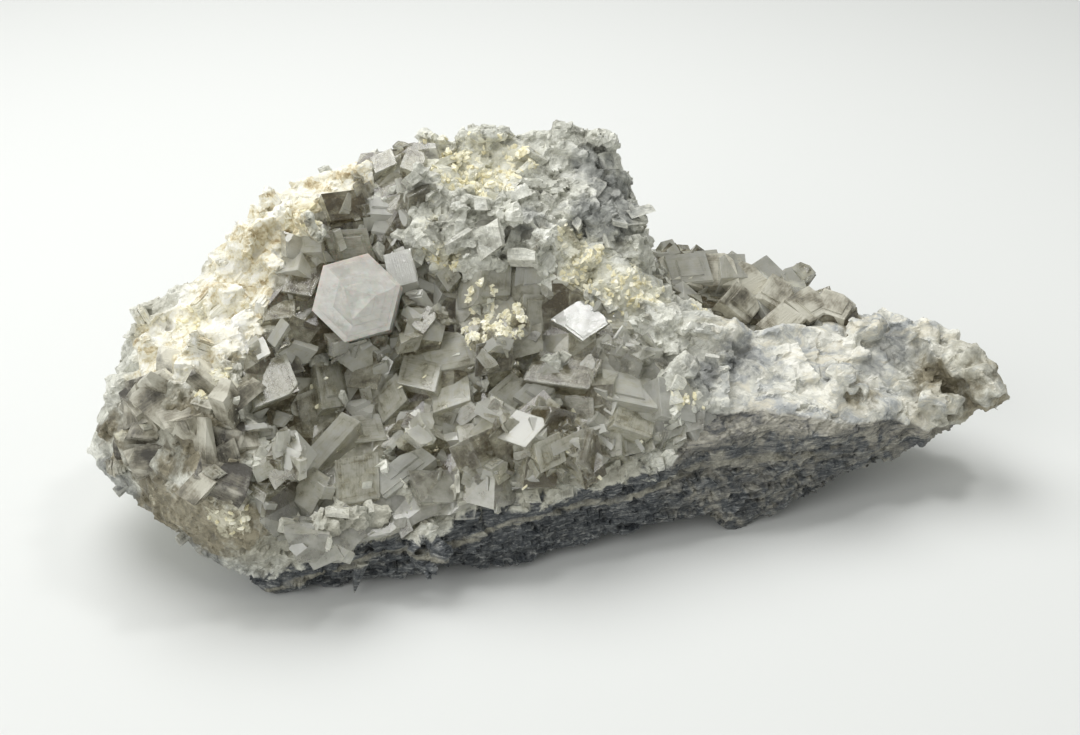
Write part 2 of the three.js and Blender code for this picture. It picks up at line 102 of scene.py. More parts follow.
def editAll(piece, operator, **settings):
    # one mesh operator on the whole of a piece
    pick(piece)
    bpy.ops.object.mode_set(mode="EDIT")
    bpy.ops.mesh.select_all(action="SELECT")
    operator(**settings)
    bpy.ops.object.mode_set(mode="OBJECT")


def openFaces(piece, wanted):
    # starts to edit a piece with the wanted faces selected
    pick(piece)
    bpy.ops.object.mode_set(mode="EDIT")
    bpy.ops.mesh.select_mode(type="FACE")
    bpy.ops.mesh.select_all(action="DESELECT")
    work = bmesh.from_edit_mesh(piece.data)
    for face in work.faces:
        face.select_set(wanted(face))
    bmesh.update_edit_mesh(piece.data)


def copyOfNode(nodeName, name):
    piece = bpy.data.objects.new(name, frame["nodes"][nodeName].data.copy())
    bpy.context.scene.collection.objects.link(piece)
    piece.data.materials.clear()
    editAll(piece, bpy.ops.mesh.remove_doubles, threshold=0.000001)
    return piece


def finishPiece(piece, slotName, material, *nodeNames):
    piece.data.materials.clear()
    piece.data.materials.append(material)
    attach(piece, "root")
    if nodeNames:
        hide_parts(*nodeNames)
    triangles = sum(len(face.vertices) - 2 for face in piece.data.polygons)
    print("stage: %s, %d triangles" % (piece.name, triangles))


def vertexPoints(mesh):
    points = np.empty(len(mesh.vertices) * 3, np.float32)
    mesh.vertices.foreach_get("co", points)
    return points.reshape(-1, 3)


def paint(piece, name, values, domain="POINT"):
    layer = piece.data.attributes.get(name) or piece.data.attributes.new(name, "FLOAT", domain)
    layer.data.foreach_set("value", np.asarray(values, np.float32))


def rising(values, start, over):
    # 0 up to start and 1 from over past it, with a straight line between
    return np.clip((values - start) / over, 0, 1)


# where the rock changes its colour and its break: (middle, reach) of each patch
zones = {
    "cream": [
        ((-82, -4, 42), 6), ((-78, -8, 45), 10), ((-73, -4, 46), 11), ((-72, -18, 45), 8),
        ((-67, 2, 50), 13), ((-61, 6, 54), 12), ((-65, 13, 58), 11), ((-58, 13, 60), 11),
        ((-53, 18, 65), 11), ((-47, 21, 68), 9), ((-42, 24, 69), 6), ((-60, -3, 50), 7),
        ((-71, 8, 51), 8), ((-60, 20, 62), 7), ((-64, -12, 46), 6), ((-82, -14, 42), 6),
        ((-52, 42, 48), 7), ((-30, 46, 58), 6), ((-8, 48, 30), 6),
    ],
    "yellow": [
        ((-23, 29, 72), 5), ((-20, 26, 68), 5), ((-15, 28, 71), 5), ((-10, 27, 69), 5),
        ((-7, 29, 70), 5), ((-12, 23, 66), 5), ((-23, 13, 58), 4), ((-21, 10, 54), 4),
        ((6, 15, 55), 4), ((9, 10, 50), 5), ((13, 11, 51), 5), ((16, 8, 47), 5),
        ((20, 12, 46), 5), ((25, 13, 42), 4), ((37, 18, 37), 3), ((-66, -26, 43), 4),
        ((-86, -28, 36), 4), ((-50, 14, 63), 5), ((-76, -3, 46), 4), ((-82, -38, 20), 4),
        ((-63, -42, 22), 4), ((30, -13, 32), 3),
    ],
    "slate": [
        ((11, 20, 60), 5), ((15, 22, 59), 6), ((17, 30, 60), 7), ((12, 32, 66), 5),
        ((34, -6, 34), 5), ((45, 2, 34), 5), ((30, 8, 37), 3), ((-2, 16, 60), 4),
        ((-22, 48, 40), 9), ((12, 44, 46), 8), ((-62, 38, 32), 8), ((-38, 46, 24), 6),
        ((-94, -24, 20), 5), ((-90, -28, 15), 6), ((-85, -32, 14), 6), ((-80, -37, 13), 6),
        ((-75, -38, 9), 6), ((-70, -40, 6), 6), ((-63, -44, 4), 6), ((-96, -22, 26), 4),
        ((82, 13, 29), 5), ((88, 12, 27), 4), ((76, 8, 28), 3),
    ],
    "brown": [
        ((-80, -36, 18), 10), ((-71, -42, 18), 10), ((-62, -44, 20), 7), ((-92, -27, 28), 7),
        ((73, 21, 30), 4), ((70, 0, 24), 5), ((91, 6, 23), 6), ((101, 6, 22), 7),
        ((-50, 15, 62), 4), ((-68, -37, 36), 6), ((-64, -37, 32), 5), ((-72, -32, 41), 4),
        ((-77, -36, 31), 4), ((-86, -25, 33), 4), ((-44, 46, 36), 8), ((0, 46, 36), 7),
        ((-72, 30, 44), 7), ((22, 40, 30), 6), ((-66, -38, 35), 5), ((-63, -36, 34), 4),
        ((-91, -30, 31), 6), ((-95, -24, 28), 6),
    ],
    "massive": [
        ((-52, -44, 18), 9), ((-42, -41, 17), 8), ((-60, -44, 16), 8), ((-30, -36, 17), 7),
        ((-16, -33, 19), 6), ((0, -31, 20), 6), ((17, -26, 20), 6), ((95, 6, 20), 12),
        ((-74, -30, 38), 11), ((-65, -32, 36), 9), ((-84, -26, 34), 8), ((-68, -24, 42), 7),
        ((100, 8, 26), 10), ((-85, 4, 42), 6), ((-78, 12, 52), 7), ((-68, 18, 59), 6),
        ((-64, 12, 56), 4),
    ],
}
bareHollow = [((-80, -38, 18), 10), ((-71, -44, 18), 9), ((-62, -46, 20), 7)]  # smooth, at the left


def zoneShare(points, blobs):
    share = np.zeros(len(points), np.float32)
    for middle, reach in blobs:
        away = np.linalg.norm(points - np.array(middle), axis=1) / reach
        share = np.maximum(share, np.clip(1.5 - away, 0, 1))
    return share


def besideHollow(points):
    return 1 - rising(zoneShare(points, bareHollow), 0, 0.5)


# how the base lies along X: the beds' rise, and the height of the right arm's lower edge
beds = {
    "at": (-41, -31, -21, -10, 4, 15, 25, 34, 50, 61, 76, 88, 100),
    "rise": (-3.6, -3.6, -2.8, -1.6, -0.5, 0, 1.5, 3.6, 4.4, 4.3, 5.8, 4.5, 4.0),
    "edgeAt": (27, 34, 48, 61, 76, 88, 104), "edge": (20, 28, 27.3, 26, 22, 17.5, 14),
}


def bedHeight(points):
    # height in the bedded base; the dark beds fade out towards both ends
    x, y, z = points.T
    fade = 0.3 * np.clip(x - 58, 0, None) + 0.4 * np.clip(-57 - x, 0, None)
    return z - 0.02 * x + fade + 0.03 * np.clip(y, -30, 30) - np.interp(x, beds["at"], beds["rise"])


def underShare(points):
    # 1 on the foliated rock below the right arm's edge
    x, z = points[:, 0], points[:, 2]
    below = np.interp(x, beds["edgeAt"], beds["edge"]) - z
    return rising(below, -1, 2) * rising(x, 25, 5)


def armShare(points):
    # 1 on the smooth massive rock of the right arm, 0 at the broken left
    return rising(points[:, 0], 28, 18)


def paintZones(piece):
    # one point attribute per zone, which the rock's materials break up with noise
    points = own(vertexPoints(piece.data))
    for name, blobs in zones.items():
        paint(piece, name, zoneShare(points, blobs))
    # the dark beds sink under the massive rock at the left end
    sunk = 0.35 * np.clip(-36 - points[:, 0], 0, 20)
    paint(piece, "bed", bedHeight(points) + sunk)
    paint(piece, "under", underShare(points))
    paint(piece, "arm", armShare(points))


# cleaved blocks and crystals: unit forms, sheared to dolomite's rhomb when they are placed
cleavageAngle = math.radians(101.9)  # between two edges at a blunt corner of dolomite

blockForms = {
    # ledges: how far the outer face steps in, its shift and its rise, in shares of an edge
    # chips: a corner, the direction it is cut away in and how far back
    "sharp": {},
    "plain": {"edge": 0.02},
    "nicked": {"chips": [((0.5, 0.5, 0), (1, 0.7, 0.9), -0.12)], "edge": 0.015},
    "terraced": {"ledges": [(0.12, (0.1, -0.09), 0.04), (0.1, (-0.08, 0.09), 0.03)], "edge": 0.018},
    "stepped": {
        "ledges": [
            (0.09, (-0.08, 0.07), 0.04), (0.14, (0.13, 0.12), 0.035), (0.08, (0.07, -0.06), 0.03),
        ],
        "chips": [((0.5, 0.5, 0), (1, 1, 1.2), -0.16)], "edge": 0.018,
    },
    "chipped": {
        "ledges": [(0.11, (0.04, 0.04), 0.04)],
        "chips": [((0.5, -0.5, 0), (1, -1, 1.4), -0.2), ((-0.5, 0.5, 0), (-1, 0.6, 1), -0.1)],
        "edge": 0.018,
    },
    "flake": {
        "chips": [
            ((0.5, 0.5, -0.5), (1, 0.6, 0.1), -0.22), ((-0.5, 0.5, -0.5), (-0.8, 1, 0), -0.15),
            ((-0.5, -0.5, -0.5), (-0.5, -1, 0.2), -0.3),
        ],
    },
}
splinterForms = {
    # broken blocks: each loses some corners, at a slant, and every other one has a ledge
    "count": 6, "cuts": 4, "slant": (0.2, 1.3), "depth": (0.06, 0.3), "seed": 5,
    "ledge": (0.1, (0.04, -0.03), 0.04),
}
bladeForm = {"cuts": 4, "bend": 0.22}  # curved plates: bend is in shares of their thickness


def keepForm(form, name, edge=0):
    bpy.ops.object.mode_set(mode="OBJECT")
    form.name = "form_" + name
    if edge:
        bevelEdges(form, edge, 1, 25)
    for holder in form.users_collection:
        holder.objects.unlink(form)
    return form


def chipCorners(chips):
    for corner, away, back in chips:
        direction = Vector(away).normalized()
        bpy.ops.mesh.select_all(action="SELECT")
        bpy.ops.mesh.bisect(
            plane_co=Vector(corner) + direction * back, plane_no=direction,
            use_fill=True, clear_outer=True,
        )


def makeForm(name, ledges=(), chips=(), edge=0):
    deselectAll()
    bpy.ops.mesh.primitive_cube_add(size=1, location=(0, 0, -0.5))
    form = bpy.context.object
    bpy.ops.object.transform_apply(location=True, rotation=True, scale=True)
    openFaces(form, lambda face: face.normal.z > 0.9)
    for inset, (right, up), rise in ledges:
        bpy.ops.mesh.inset(thickness=inset)
        bpy.ops.transform.translate(value=(right, up, 0))
        bpy.ops.mesh.extrude_region_move(TRANSFORM_OT_translate={"value": (0, 0, rise)})
    chipCorners(chips)
    return keepForm(form, name, edge)


def makeBlade(name, chips=()):
    # a thin plate with a saddle's curve, like the curved rhombs of massive dolomite
    deselectAll()
    cuts = bladeForm["cuts"]
    bpy.ops.mesh.primitive_grid_add(x_subdivisions=cuts, y_subdivisions=cuts, size=1)
    form = bpy.context.object
    for corner in form.data.vertices:
        x, y = corner.co.x, corner.co.y
        corner.co.z = bladeForm["bend"] * 4 * (x * x - y * y * 0.6 + 0.4 * x * y)
    bpy.ops.object.mode_set(mode="EDIT")
    bpy.ops.mesh.select_all(action="SELECT")
    bpy.ops.mesh.extrude_region_move(TRANSFORM_OT_translate={"value": (0, 0, -1)})
    bpy.ops.mesh.select_all(action="SELECT")
    bpy.ops.mesh.normals_make_consistent(inside=False)
    chipCorners(chips)
    return keepForm(form, name)


def makeThorn():
    deselectAll()
    bpy.ops.mesh.primitive_cone_add(
        vertices=7, radius1=0.5, radius2=0.03, depth=1, location=(0, 0, -0.5), rotation=(math.pi, 0, 0),
    )
    form = bpy.context.object
    bpy.ops.object.transform_apply(location=True, rotation=True, scale=True)
    return keepForm(form, "thorn")


forms = {name: makeForm(name, **values) for name, values in blockForms.items()}
splinters = ["splinter%d" % number for number in range(splinterForms["count"])]
formDice = random.Random(splinterForms["seed"])
allCorners = [(x, y, z) for x in (-0.5, 0.5) for y in (-0.5, 0.5) for z in (0, -1)]
for number, name in enumerate(splinters):
    chips = []
    for x, y, z in formDice.sample(allCorners, splinterForms["cuts"]):
        away = [2 * side * formDice.uniform(*splinterForms["slant"]) for side in (x, y, z + 0.5)]
        chips.append(((x, y, z), away, -formDice.uniform(*splinterForms["depth"])))
    forms[name] = makeForm(name, [splinterForms["ledge"]] * (number % 2), chips)
forms["blade"] = makeBlade("blade")
forms["thorn"] = makeThorn()
forms["brokenBlade"] = makeBlade("brokenBlade", blockForms["flake"]["chips"][:2])
print("stage: forms", {name: len(form.data.polygons) for name, form in forms.items()})


def direction(azimuth, height):
    a, h = math.radians(azimuth), math.radians(height)
    return Vector((math.sin(a) * math.cos(h), -math.cos(a) * math.cos(h), math.sin(h)))


def seatTurn(normal, spin):
    right = Vector((-normal.y, normal.x, 0)).normalized()
    up = normal.cross(right)
    turn = Matrix((right, up, normal)).transposed()
    return turn @ Matrix.Rotation(math.radians(spin), 3, "Z")


def wobbleOf(dice):
    return Vector([dice.uniform(-1, 1) for _ in range(3)])


def looseTurn(dice, normal, lean):
    # faces outwards, but for a lean and a spin by chance
    facing = Vector(normal) + lean * wobbleOf(dice)
    return seatTurn(facing.normalized(), dice.uniform(0, 360))


def sizeFrom(dice, values):
    return [dice.uniform(*values[name]) for name in ("edge", "edge", "thick")]


def rhombShear(size):
    a, b, c = size
    cos, sin = math.cos(cleavageAngle), math.sin(cleavageAngle)
    lean = (cos, cos * (1 - cos) / sin)
    rise = math.sqrt(1 - lean[0] ** 2 - lean[1] ** 2)
    return Matrix(((a, b * cos, -c * lean[0]), (0, b * sin, -c * lean[1]), (0, 0, c * rise)))


def addBlock(blocks, form, at, turn, size, tone=0.5, stain=0.0, milk=0.0, seated=False):
    # a copy of a form with edges of size mm; at is its middle, or its outer face's if it is seated
    source = forms[form].data
    mesh = source.copy()
    points = vertexPoints(source)
    corners = np.empty(len(source.loops), np.int32)
    source.loops.foreach_get("vertex_index", corners)
    owners = np.repeat(np.arange(len(source.polygons)), [p.loop_total for p in source.polygons])
    # "across" is a corner's place on its face in mm from the middle, "half" half the edges
    normals = np.array([p.normal for p in source.polygons])[owners]
    main = np.abs(normals).argmax(axis=1)
    first = np.array([1, 0, 0])[main]
    second = np.array([2, 2, 1])[main]
    edges = np.array(size)
    local = (points[corners] - np.array([0, 0, -0.5])) * edges
    rows = np.arange(len(corners))
    across = np.stack([local[rows, first], local[rows, second]], axis=1)
    half = np.stack([edges[first], edges[second]], axis=1) / 2
    for layer in list(mesh.uv_layers):
        mesh.uv_layers.remove(layer)
    for name, values in (("across", across), ("half", half)):
        layer = mesh.uv_layers.new(name=name)
        layer.data.foreach_set("uv", values.astype(np.float32).ravel())
    for name, value in (("tone", tone), ("stain", stain), ("milk", milk)):
        layer = mesh.attributes.new(name, "FLOAT", "FACE")
        layer.data.foreach_set("value", np.full(len(mesh.polygons), value, np.float32))
    place = Matrix.Scale(mm, 4) @ (turn @ rhombShear(size)).to_4x4()
    place = place @ Matrix.Translation((0, 0, 0 if seated else 0.5))
    mesh.transform(Matrix.Translation(world(at)) @ place)
    blocks.append(bpy.data.objects.new("block", mesh))


def joinBlocks(blocks, name):
    for block in blocks:
        bpy.context.scene.collection.objects.link(block)
    pick(blocks[0])
    for block in blocks:
        block.select_set(True)
    bpy.ops.object.join()
    joined = bpy.context.object
    joined.name = name
    joined.data.name = name
    return joined


def uniteBlocks(base, blocks):
    # joins the blocks into the base as one closed skin
    grown = bpy.data.collections.new("grown")
    bpy.context.scene.collection.children.link(grown)
    for block in blocks:
        grown.objects.link(block)
    union = base.modifiers.new("union", "BOOLEAN")
    union.operation = "UNION"
    union.operand_type = "COLLECTION"
    union.collection = grown
    union.solver = "MANIFOLD"
    before = len(base.data.polygons)
    applyAll(base)
    if len(base.data.polygons) <= before:
        raise RuntimeError("the blocks didn't join %s: its skin isn't closed" % base.name)
    for block in blocks:
        bpy.data.objects.remove(block)
    bpy.data.collections.remove(grown)


def spotsOn(piece, count, seed, sortFirst=False):
    # random points all over a piece with their normals, in the specimen's own frame
    mesh = piece.data
    mesh.calc_loop_triangles()
    corners = np.empty(len(mesh.loop_triangles) * 3, np.int32)
    mesh.loop_triangles.foreach_get("vertices", corners)
    triangles = own(vertexPoints(mesh))[corners.reshape(-1, 3)]
    if sortFirst:
        # bevels and unions number a mesh anew in each run, so its triangles are put in order of place
        slant = np.array([1, 0.37, 0.13])
        first = (triangles @ slant).argmin(axis=1)
        turned = (first[:, None] + np.arange(3)) % 3
        triangles = np.take_along_axis(triangles, turned[:, :, None], axis=1)
        triangles = triangles[np.lexsort(triangles.reshape(-1, 9).T)]
    crosses = np.cross(triangles[:, 1] - triangles[:, 0], triangles[:, 2] - triangles[:, 0])
    areas = np.linalg.norm(crosses, axis=1)
    dice = np.random.default_rng(seed)
    chosen = dice.choice(len(areas), count, p=areas / areas.sum())
    shares = np.sort(dice.random((count, 2)), axis=1)
    weights = np.stack([shares[:, 0], shares[:, 1] - shares[:, 0], 1 - shares[:, 1]], axis=1)
    points = (triangles[chosen] * weights[:, :, None]).sum(axis=1)
    return points, crosses[chosen] / areas[chosen][:, None]


# short hands for nodes
def feed(tree, node, inputs):
    # links each socket to its input, or sets the input to the value
    for name, value in inputs.items():
        if isinstance(value, bpy.types.NodeSocket):
            tree.links.new(value, node.inputs[name])
        else:
            node.inputs[name].default_value = value


def addNode(tree, kind, inputs=None, **settings):
    made = tree.nodes.new(kind)
    for name, value in settings.items():
        setattr(made, name, value)
    feed(tree, made, inputs or {})
    return made


def useGroup(tree, group, **inputs):
    return addNode(tree, "ShaderNodeGroup", inputs, node_tree=group).outputs


def mathNode(tree, operation, first, second=0.0, third=0.0):
    made = addNode(tree, "ShaderNodeMath", {0: first, 1: second, 2: third}, operation=operation)
    return made.outputs[0]


def times(tree, first, second):
    return mathNode(tree, "MULTIPLY", first, second)


def plus(tree, first, second):
    return mathNode(tree, "ADD", first, second)


def minus(tree, first, second):
    return mathNode(tree, "SUBTRACT", first, second)


def vectorNode(tree, operation, first, second=(0, 0, 0)):
    made = addNode(tree, "ShaderNodeVectorMath", {0: first, 1: second}, operation=operation)
    return made.outputs["Value" if operation == "DOT_PRODUCT" else "Vector"]


def scaledVector(tree, vector, factor):
    made = addNode(tree, "ShaderNodeVectorMath", {0: vector, "Scale": factor}, operation="SCALE")
    return made.outputs["Vector"]


def inCells(tree, vector, size):
    return scaledVector(tree, vector, mathNode(tree, "DIVIDE", 1.0, size))


def aroundZero(tree, colour):
    return vectorNode(tree, "SUBTRACT", colour, (0.5, 0.5, 0.5))


def swayed(tree, place, scale, amount):
    # a place pushed about softly, so that the pattern laid on it wanders
    sway = addNode(tree, "ShaderNodeTexNoise", {"Vector": place, "Scale": scale, "Detail": 2.0})
    wander = scaledVector(tree, aroundZero(tree, sway.outputs["Color"]), amount)
    return vectorNode(tree, "ADD", place, wander)


def noiseNode(tree, place, scale, detail=4.0, rough=0.6):
    if isinstance(scale, tuple):
        place, scale = vectorNode(tree, "MULTIPLY", place, scale), 1.0
    inputs = {"Vector": place, "Scale": scale, "Detail": detail, "Roughness": rough}
    return addNode(tree, "ShaderNodeTexNoise", inputs).outputs["Fac"]


def spread(tree, value, low, high, toLow=0.0, toHigh=1.0):
    inputs = {"Value": value, "From Min": low, "From Max": high, "To Min": toLow, "To Max": toHigh}
    return addNode(tree, "ShaderNodeMapRange", inputs).outputs["Result"]


def weighted(tree, middle, *terms):
    # middle + the sum of weight * (value - 0.5)
    total = middle
    for value, weight in terms:
        part = mathNode(tree, "MULTIPLY_ADD", value, weight, -0.5 * weight)
        total = plus(tree, part, total)
    return total


def ramp(tree, value, stops):
    made = addNode(tree, "ShaderNodeValToRGB", {0: value})
    line = made.color_ramp
    while len(line.elements) < len(stops):
        line.elements.new(0.5)
    for element, (at, colour) in zip(line.elements, stops):
        element.position = at
        element.color = (*colour, 1)
    return made.outputs["Color"]


def blendColours(tree, share, first, second, blend="MIX"):
    if isinstance(second, tuple):
        second = (*second, 1)
    inputs = {0: share, 6: first, 7: second}
    return addNode(tree, "ShaderNodeMix", inputs, data_type="RGBA", blend_type=blend).outputs[2]


def newGroup(name, kind, inputs, outputs):
    # inputs with their first values, where None is a geometry; outputs with their kinds
    tree = bpy.data.node_groups.new(name, kind + "NodeTree")
    for label, value in inputs.items():
        socket = "Geometry" if value is None else "Vector" if isinstance(value, tuple) else "Float"
        made = tree.interface.new_socket(name=label, in_out="INPUT", socket_type="NodeSocket" + socket)
        if value is not None:
            made.default_value = value
    for label, socket in outputs.items():
        tree.interface.new_socket(name=label, in_out="OUTPUT", socket_type="NodeSocket" + socket)
    return tree, tree.nodes.new("NodeGroupInput").outputs, tree.nodes.new("NodeGroupOutput")


# matrix_rock: the body, chipped and bedded
rockBody = {
    "voxel": 0.6,  # mm, size of the finished surface's quads
    "split": -14,  # mm along X, where the two meshes of the body meet
    # soft waves: their size in mm, how far they move the skin, and a seed
    "swell": {"size": 13, "amount": 2.2, "seed": 4},
    "ripple": {"size": 3.4, "amount": 0.3, "seed": 9},
    # flat chips: size in mm, tilt, step between them in mm, stretch, turn and seed
    "breaks": [
        (7.5, 1.5, 0.9, (1, 1, 1.3), (0.4, 0.3, 0), 3), (3.8, 0.9, 0.4, (1, 1.3, 1), (0.7, -0.5, 0.3), 8),
    ],
    "beds": [
        (9.0, 0.9, 1.6, (1, 1, 5), (0.03, -0.02, 0), 6), (4.5, 0.5, 0.8, (1, 1, 5), (0.06, -0.05, 0), 7),
    ],
    "feet": (0.0003, 0.002),  # metres: the flat feet aren't moved, and what is higher is
}
chipNames = ("cell", "tilt", "step", "stretch", "turn", "seed")


def skinGroup(name, inputs):
    # one pass over the skin: its group, and each point's place in millimetres
    inputs = {"Geometry": None, **inputs}
    tree, given, output = newGroup(name, "Geometry", inputs, {"Geometry": "Geometry"})
    position = addNode(tree, "GeometryNodeInputPosition").outputs[0]
    return tree, given, output, scaledVector(tree, position, 1 / mm)


def seededPlace(tree, vector, seed):
    shift = addNode(tree, "ShaderNodeCombineXYZ", {0: seed, 1: seed, 2: seed}).outputs[0]
    return vectorNode(tree, "ADD", vector, scaledVector(tree, shift, 7.31))


def pushSkin(tree, given, output, height):
    # moves each point along its normal by height mm
    position = addNode(tree, "GeometryNodeInputPosition").outputs[0]
    ground = addNode(tree, "ShaderNodeSeparateXYZ", {0: position}).outputs["Z"]
    offset = scaledVector(
        tree, addNode(tree, "GeometryNodeInputNormal").outputs[0], times(tree, height, mm),
    )
    lifted = scaledVector(tree, offset, spread(tree, ground, *rockBody["feet"]))
    made = addNode(tree, "GeometryNodeSetPosition", {"Geometry": given["Geometry"], "Offset": lifted})
    tree.links.new(made.outputs[0], output.inputs[0])
    return tree


def chipTree():
    # moves the skin in flat chips: each cell of space has a tilt and a height of its own
    tree, given, output, place = skinGroup("chippedSkin", {
        "Cell": 5.0, "Tilt": 0.5, "Step": 0.5, "Stretch": (1, 1, 1), "Turn": (0, 0, 0), "Seed": 0.0,
        "Share": 1.0,
    })
    turn = {"Vector": swayed(tree, place, 0.22, 5.0), "Rotation": given["Turn"]}
    turned = addNode(tree, "ShaderNodeVectorRotate", turn, rotation_type="EULER_XYZ").outputs[0]
    cells = inCells(tree, vectorNode(tree, "MULTIPLY", turned, given["Stretch"]), given["Cell"])
    seeded = seededPlace(tree, cells, given["Seed"])
    chips = addNode(tree, "ShaderNodeTexVoronoi", {"Vector": seeded, "Scale": 1.0})
    fromMiddle = vectorNode(tree, "SUBTRACT", seeded, chips.outputs["Position"])
    luck = addNode(tree, "ShaderNodeTexWhiteNoise", {"Vector": chips.outputs["Position"]}).outputs
    lean = vectorNode(tree, "DOT_PRODUCT", fromMiddle, aroundZero(tree, luck["Color"]))
    height = times(tree, minus(tree, luck["Value"], 0.5), given["Step"])
    total = plus(tree, times(tree, times(tree, lean, given["Tilt"]), 2.0), height)
    return pushSkin(tree, given, output, times(tree, total, given["Share"]))


def swellTree():
    # softly uneven skin, so that no facet of the solid stays flat
    tree, given, output, place = skinGroup("swollenSkin", {"Size": 5.0, "Amount": 1.0, "Seed": 0.0})
    seeded = seededPlace(tree, inCells(tree, place, given["Size"]), given["Seed"])
    cloud = noiseNode(tree, seeded, 1.0, 0.8, 0.5)
    return pushSkin(tree, given, output, times(tree, minus(tree, cloud, 0.5), given["Amount"]))


def shapeSkin(piece, tree, values, share=None):
    # adds one pass; a value belongs to the group's input of that name, apart from its capital
    step = piece.modifiers.new("skin", "NODES")
    step.node_group = tree
    for socket in tree.interface.items_tree:
        value = values.get(socket.name.lower()) if socket.in_out == "INPUT" else None
        if isinstance(value, tuple):
            step[socket.identifier] = [float(v) for v in value]
        elif value is not None:
            step[socket.identifier] = float(value)
        if socket.name == "Share":
            step[socket.identifier + "_use_attribute"] = True
            step[socket.identifier + "_attribute_name"] = share


# cleaved blocks that stand out of the broken rock, each grain of one lattice
rockGrains = {
    "grains": 220, "tries": 3600, "edge": (4.5, 9.5), "thick": (1.4, 3.2), "lean": 0.4,
    "proud": 0.02, "overlap": 1.002, "seed": 17,
}
# books of curved plates on the left lump and the cream ridge
plateBooks = {
    # places looked at for each stack, and the share of them that bears one on the ridge and lump
    "tries": 8, "onRidge": 0.5, "onLump": 0.6,
    "narrow": 0.8, "lean": 0.6, "spin": 18, "drift": 0.4, "packed": (0.8, 1.02),
    # stacks behind this Y are small and low, so that the outline stays even
    "back": 4, "backSize": 0.6, "backPlates": 2,
    "fused": {
        "stacks": 85, "edge": (4.5, 9.0), "plate": (0.9, 1.7), "plates": (3, 6), "onEdge": 0.6, "seed": 29,
    },
    "crisp": {
        "stacks": 45, "edge": (3.0, 6.5), "plate": (0.5, 1.0), "plates": (3, 6), "onEdge": 0.7, "seed": 31,
    },
}
massiveCover = {
    "tries": 1300, "edge": (5.0, 11.0), "thick": (2.0, 4.5), "lean": 0.35, "seed": 41,
    # a share of a block's thickness is sunk, more of it above highFrom and at the lower rim
    "sunk": 0.25, "sunkMore": 0.48, "highFrom": 64, "top": 69.5, "rimSize": 0.55, "rightShare": 0.25,
}
# broken lumps that blunt the right tip and ring the arm's holes: middle, spread, number, edges
tipLumps = {
    "seed": 61,
    "heaps": [
        ((101, 7, 24), (2.5, 4.5, 3.5), 9, (5, 8)), ((95, 10, 28), (3, 3, 1.5), 4, (4, 7)),
        ((88, 21, 29.5), (5, 3, 1.2), 6, (4, 7)), ((93, 15, 27.5), (2.5, 3, 1.2), 4, (4, 7)),
        ((75, 17, 34), (2, 3.5, 1.5), 3, (3, 5)), ((68, -2, 28), (4, 2.5, 3), 6, (2.5, 4.5)),
        ((91, 1, 23), (5, 2.5, 3), 8, (3, 5)),
    ],
}
thorn = {"at": (-38, -40, 4.8), "size": (4.0, 3.4, 7.4), "clear": 6, "top": 8}  # under the front edge


def leftLump(points):
    return rising(points[:, 0], -58, -6)


def bookShare(points):
    # 1 where curved plates stand in books: the left lump and the cream ridge
    return np.maximum(zoneShare(points, zones["cream"]), leftLump(points))


def underCrest(x, z):
    return z > 53 and -27 < x < 25


def roughness(points):
    # how broken the rock is: peak much, left lump and middle some, right arm little
    x, y, z = points.T
    share = np.maximum(rising(z, 46, 8) * 0.45, rising(x, 40, -12) * 0.3) + 0.03
    calm = rising(x, -92, 6) * (1 - 0.6 * rising(y, 28, 10))
    aboveBeds = rising(bedHeight(points), 15, 4) * (1 - underShare(points))
    return share * calm * (1 - 0.6 * bookShare(points)) * aboveBeds * besideHollow(points)


def grainBlocks(rock):
    values = rockGrains
    centres, normals = spotsOn(rock, values["grains"], values["seed"])
    dice = random.Random(values["seed"])
    turns = [looseTurn(dice, normal, values["lean"]) for normal in normals]
    edges = [sizeFrom(dice, values) for _ in turns]
    lattices = [turn @ rhombShear(size) for turn, size in zip(turns, edges)]
    points, normals = spotsOn(rock, values["tries"], values["seed"] + 1)
    nearest = ((points[:, None, :] - centres[None, :, :]) ** 2).sum(axis=2).argmin(axis=1)
    blocks = []
    taken = set()
    for point, normal, grain, chance in zip(points, normals, nearest, roughness(points)):
        if dice.random() > chance:
            continue
        cell = lattices[grain].inverted() @ Vector(point - centres[grain])
        cell = Vector([math.floor(v) + 0.5 for v in cell])
        middle = Vector(centres[grain]) + lattices[grain] @ cell
        key = (grain, *[round(v * 2) for v in cell])
        sticksOut = (middle - Vector(point)).dot(Vector(normal))
        if key in taken or sticksOut > values["proud"] * min(edges[grain]):
            continue
        taken.add(key)
        size = [edge * values["overlap"] for edge in edges[grain]]
        addBlock(blocks, "sharp", middle, turns[grain], size)
    return blocks


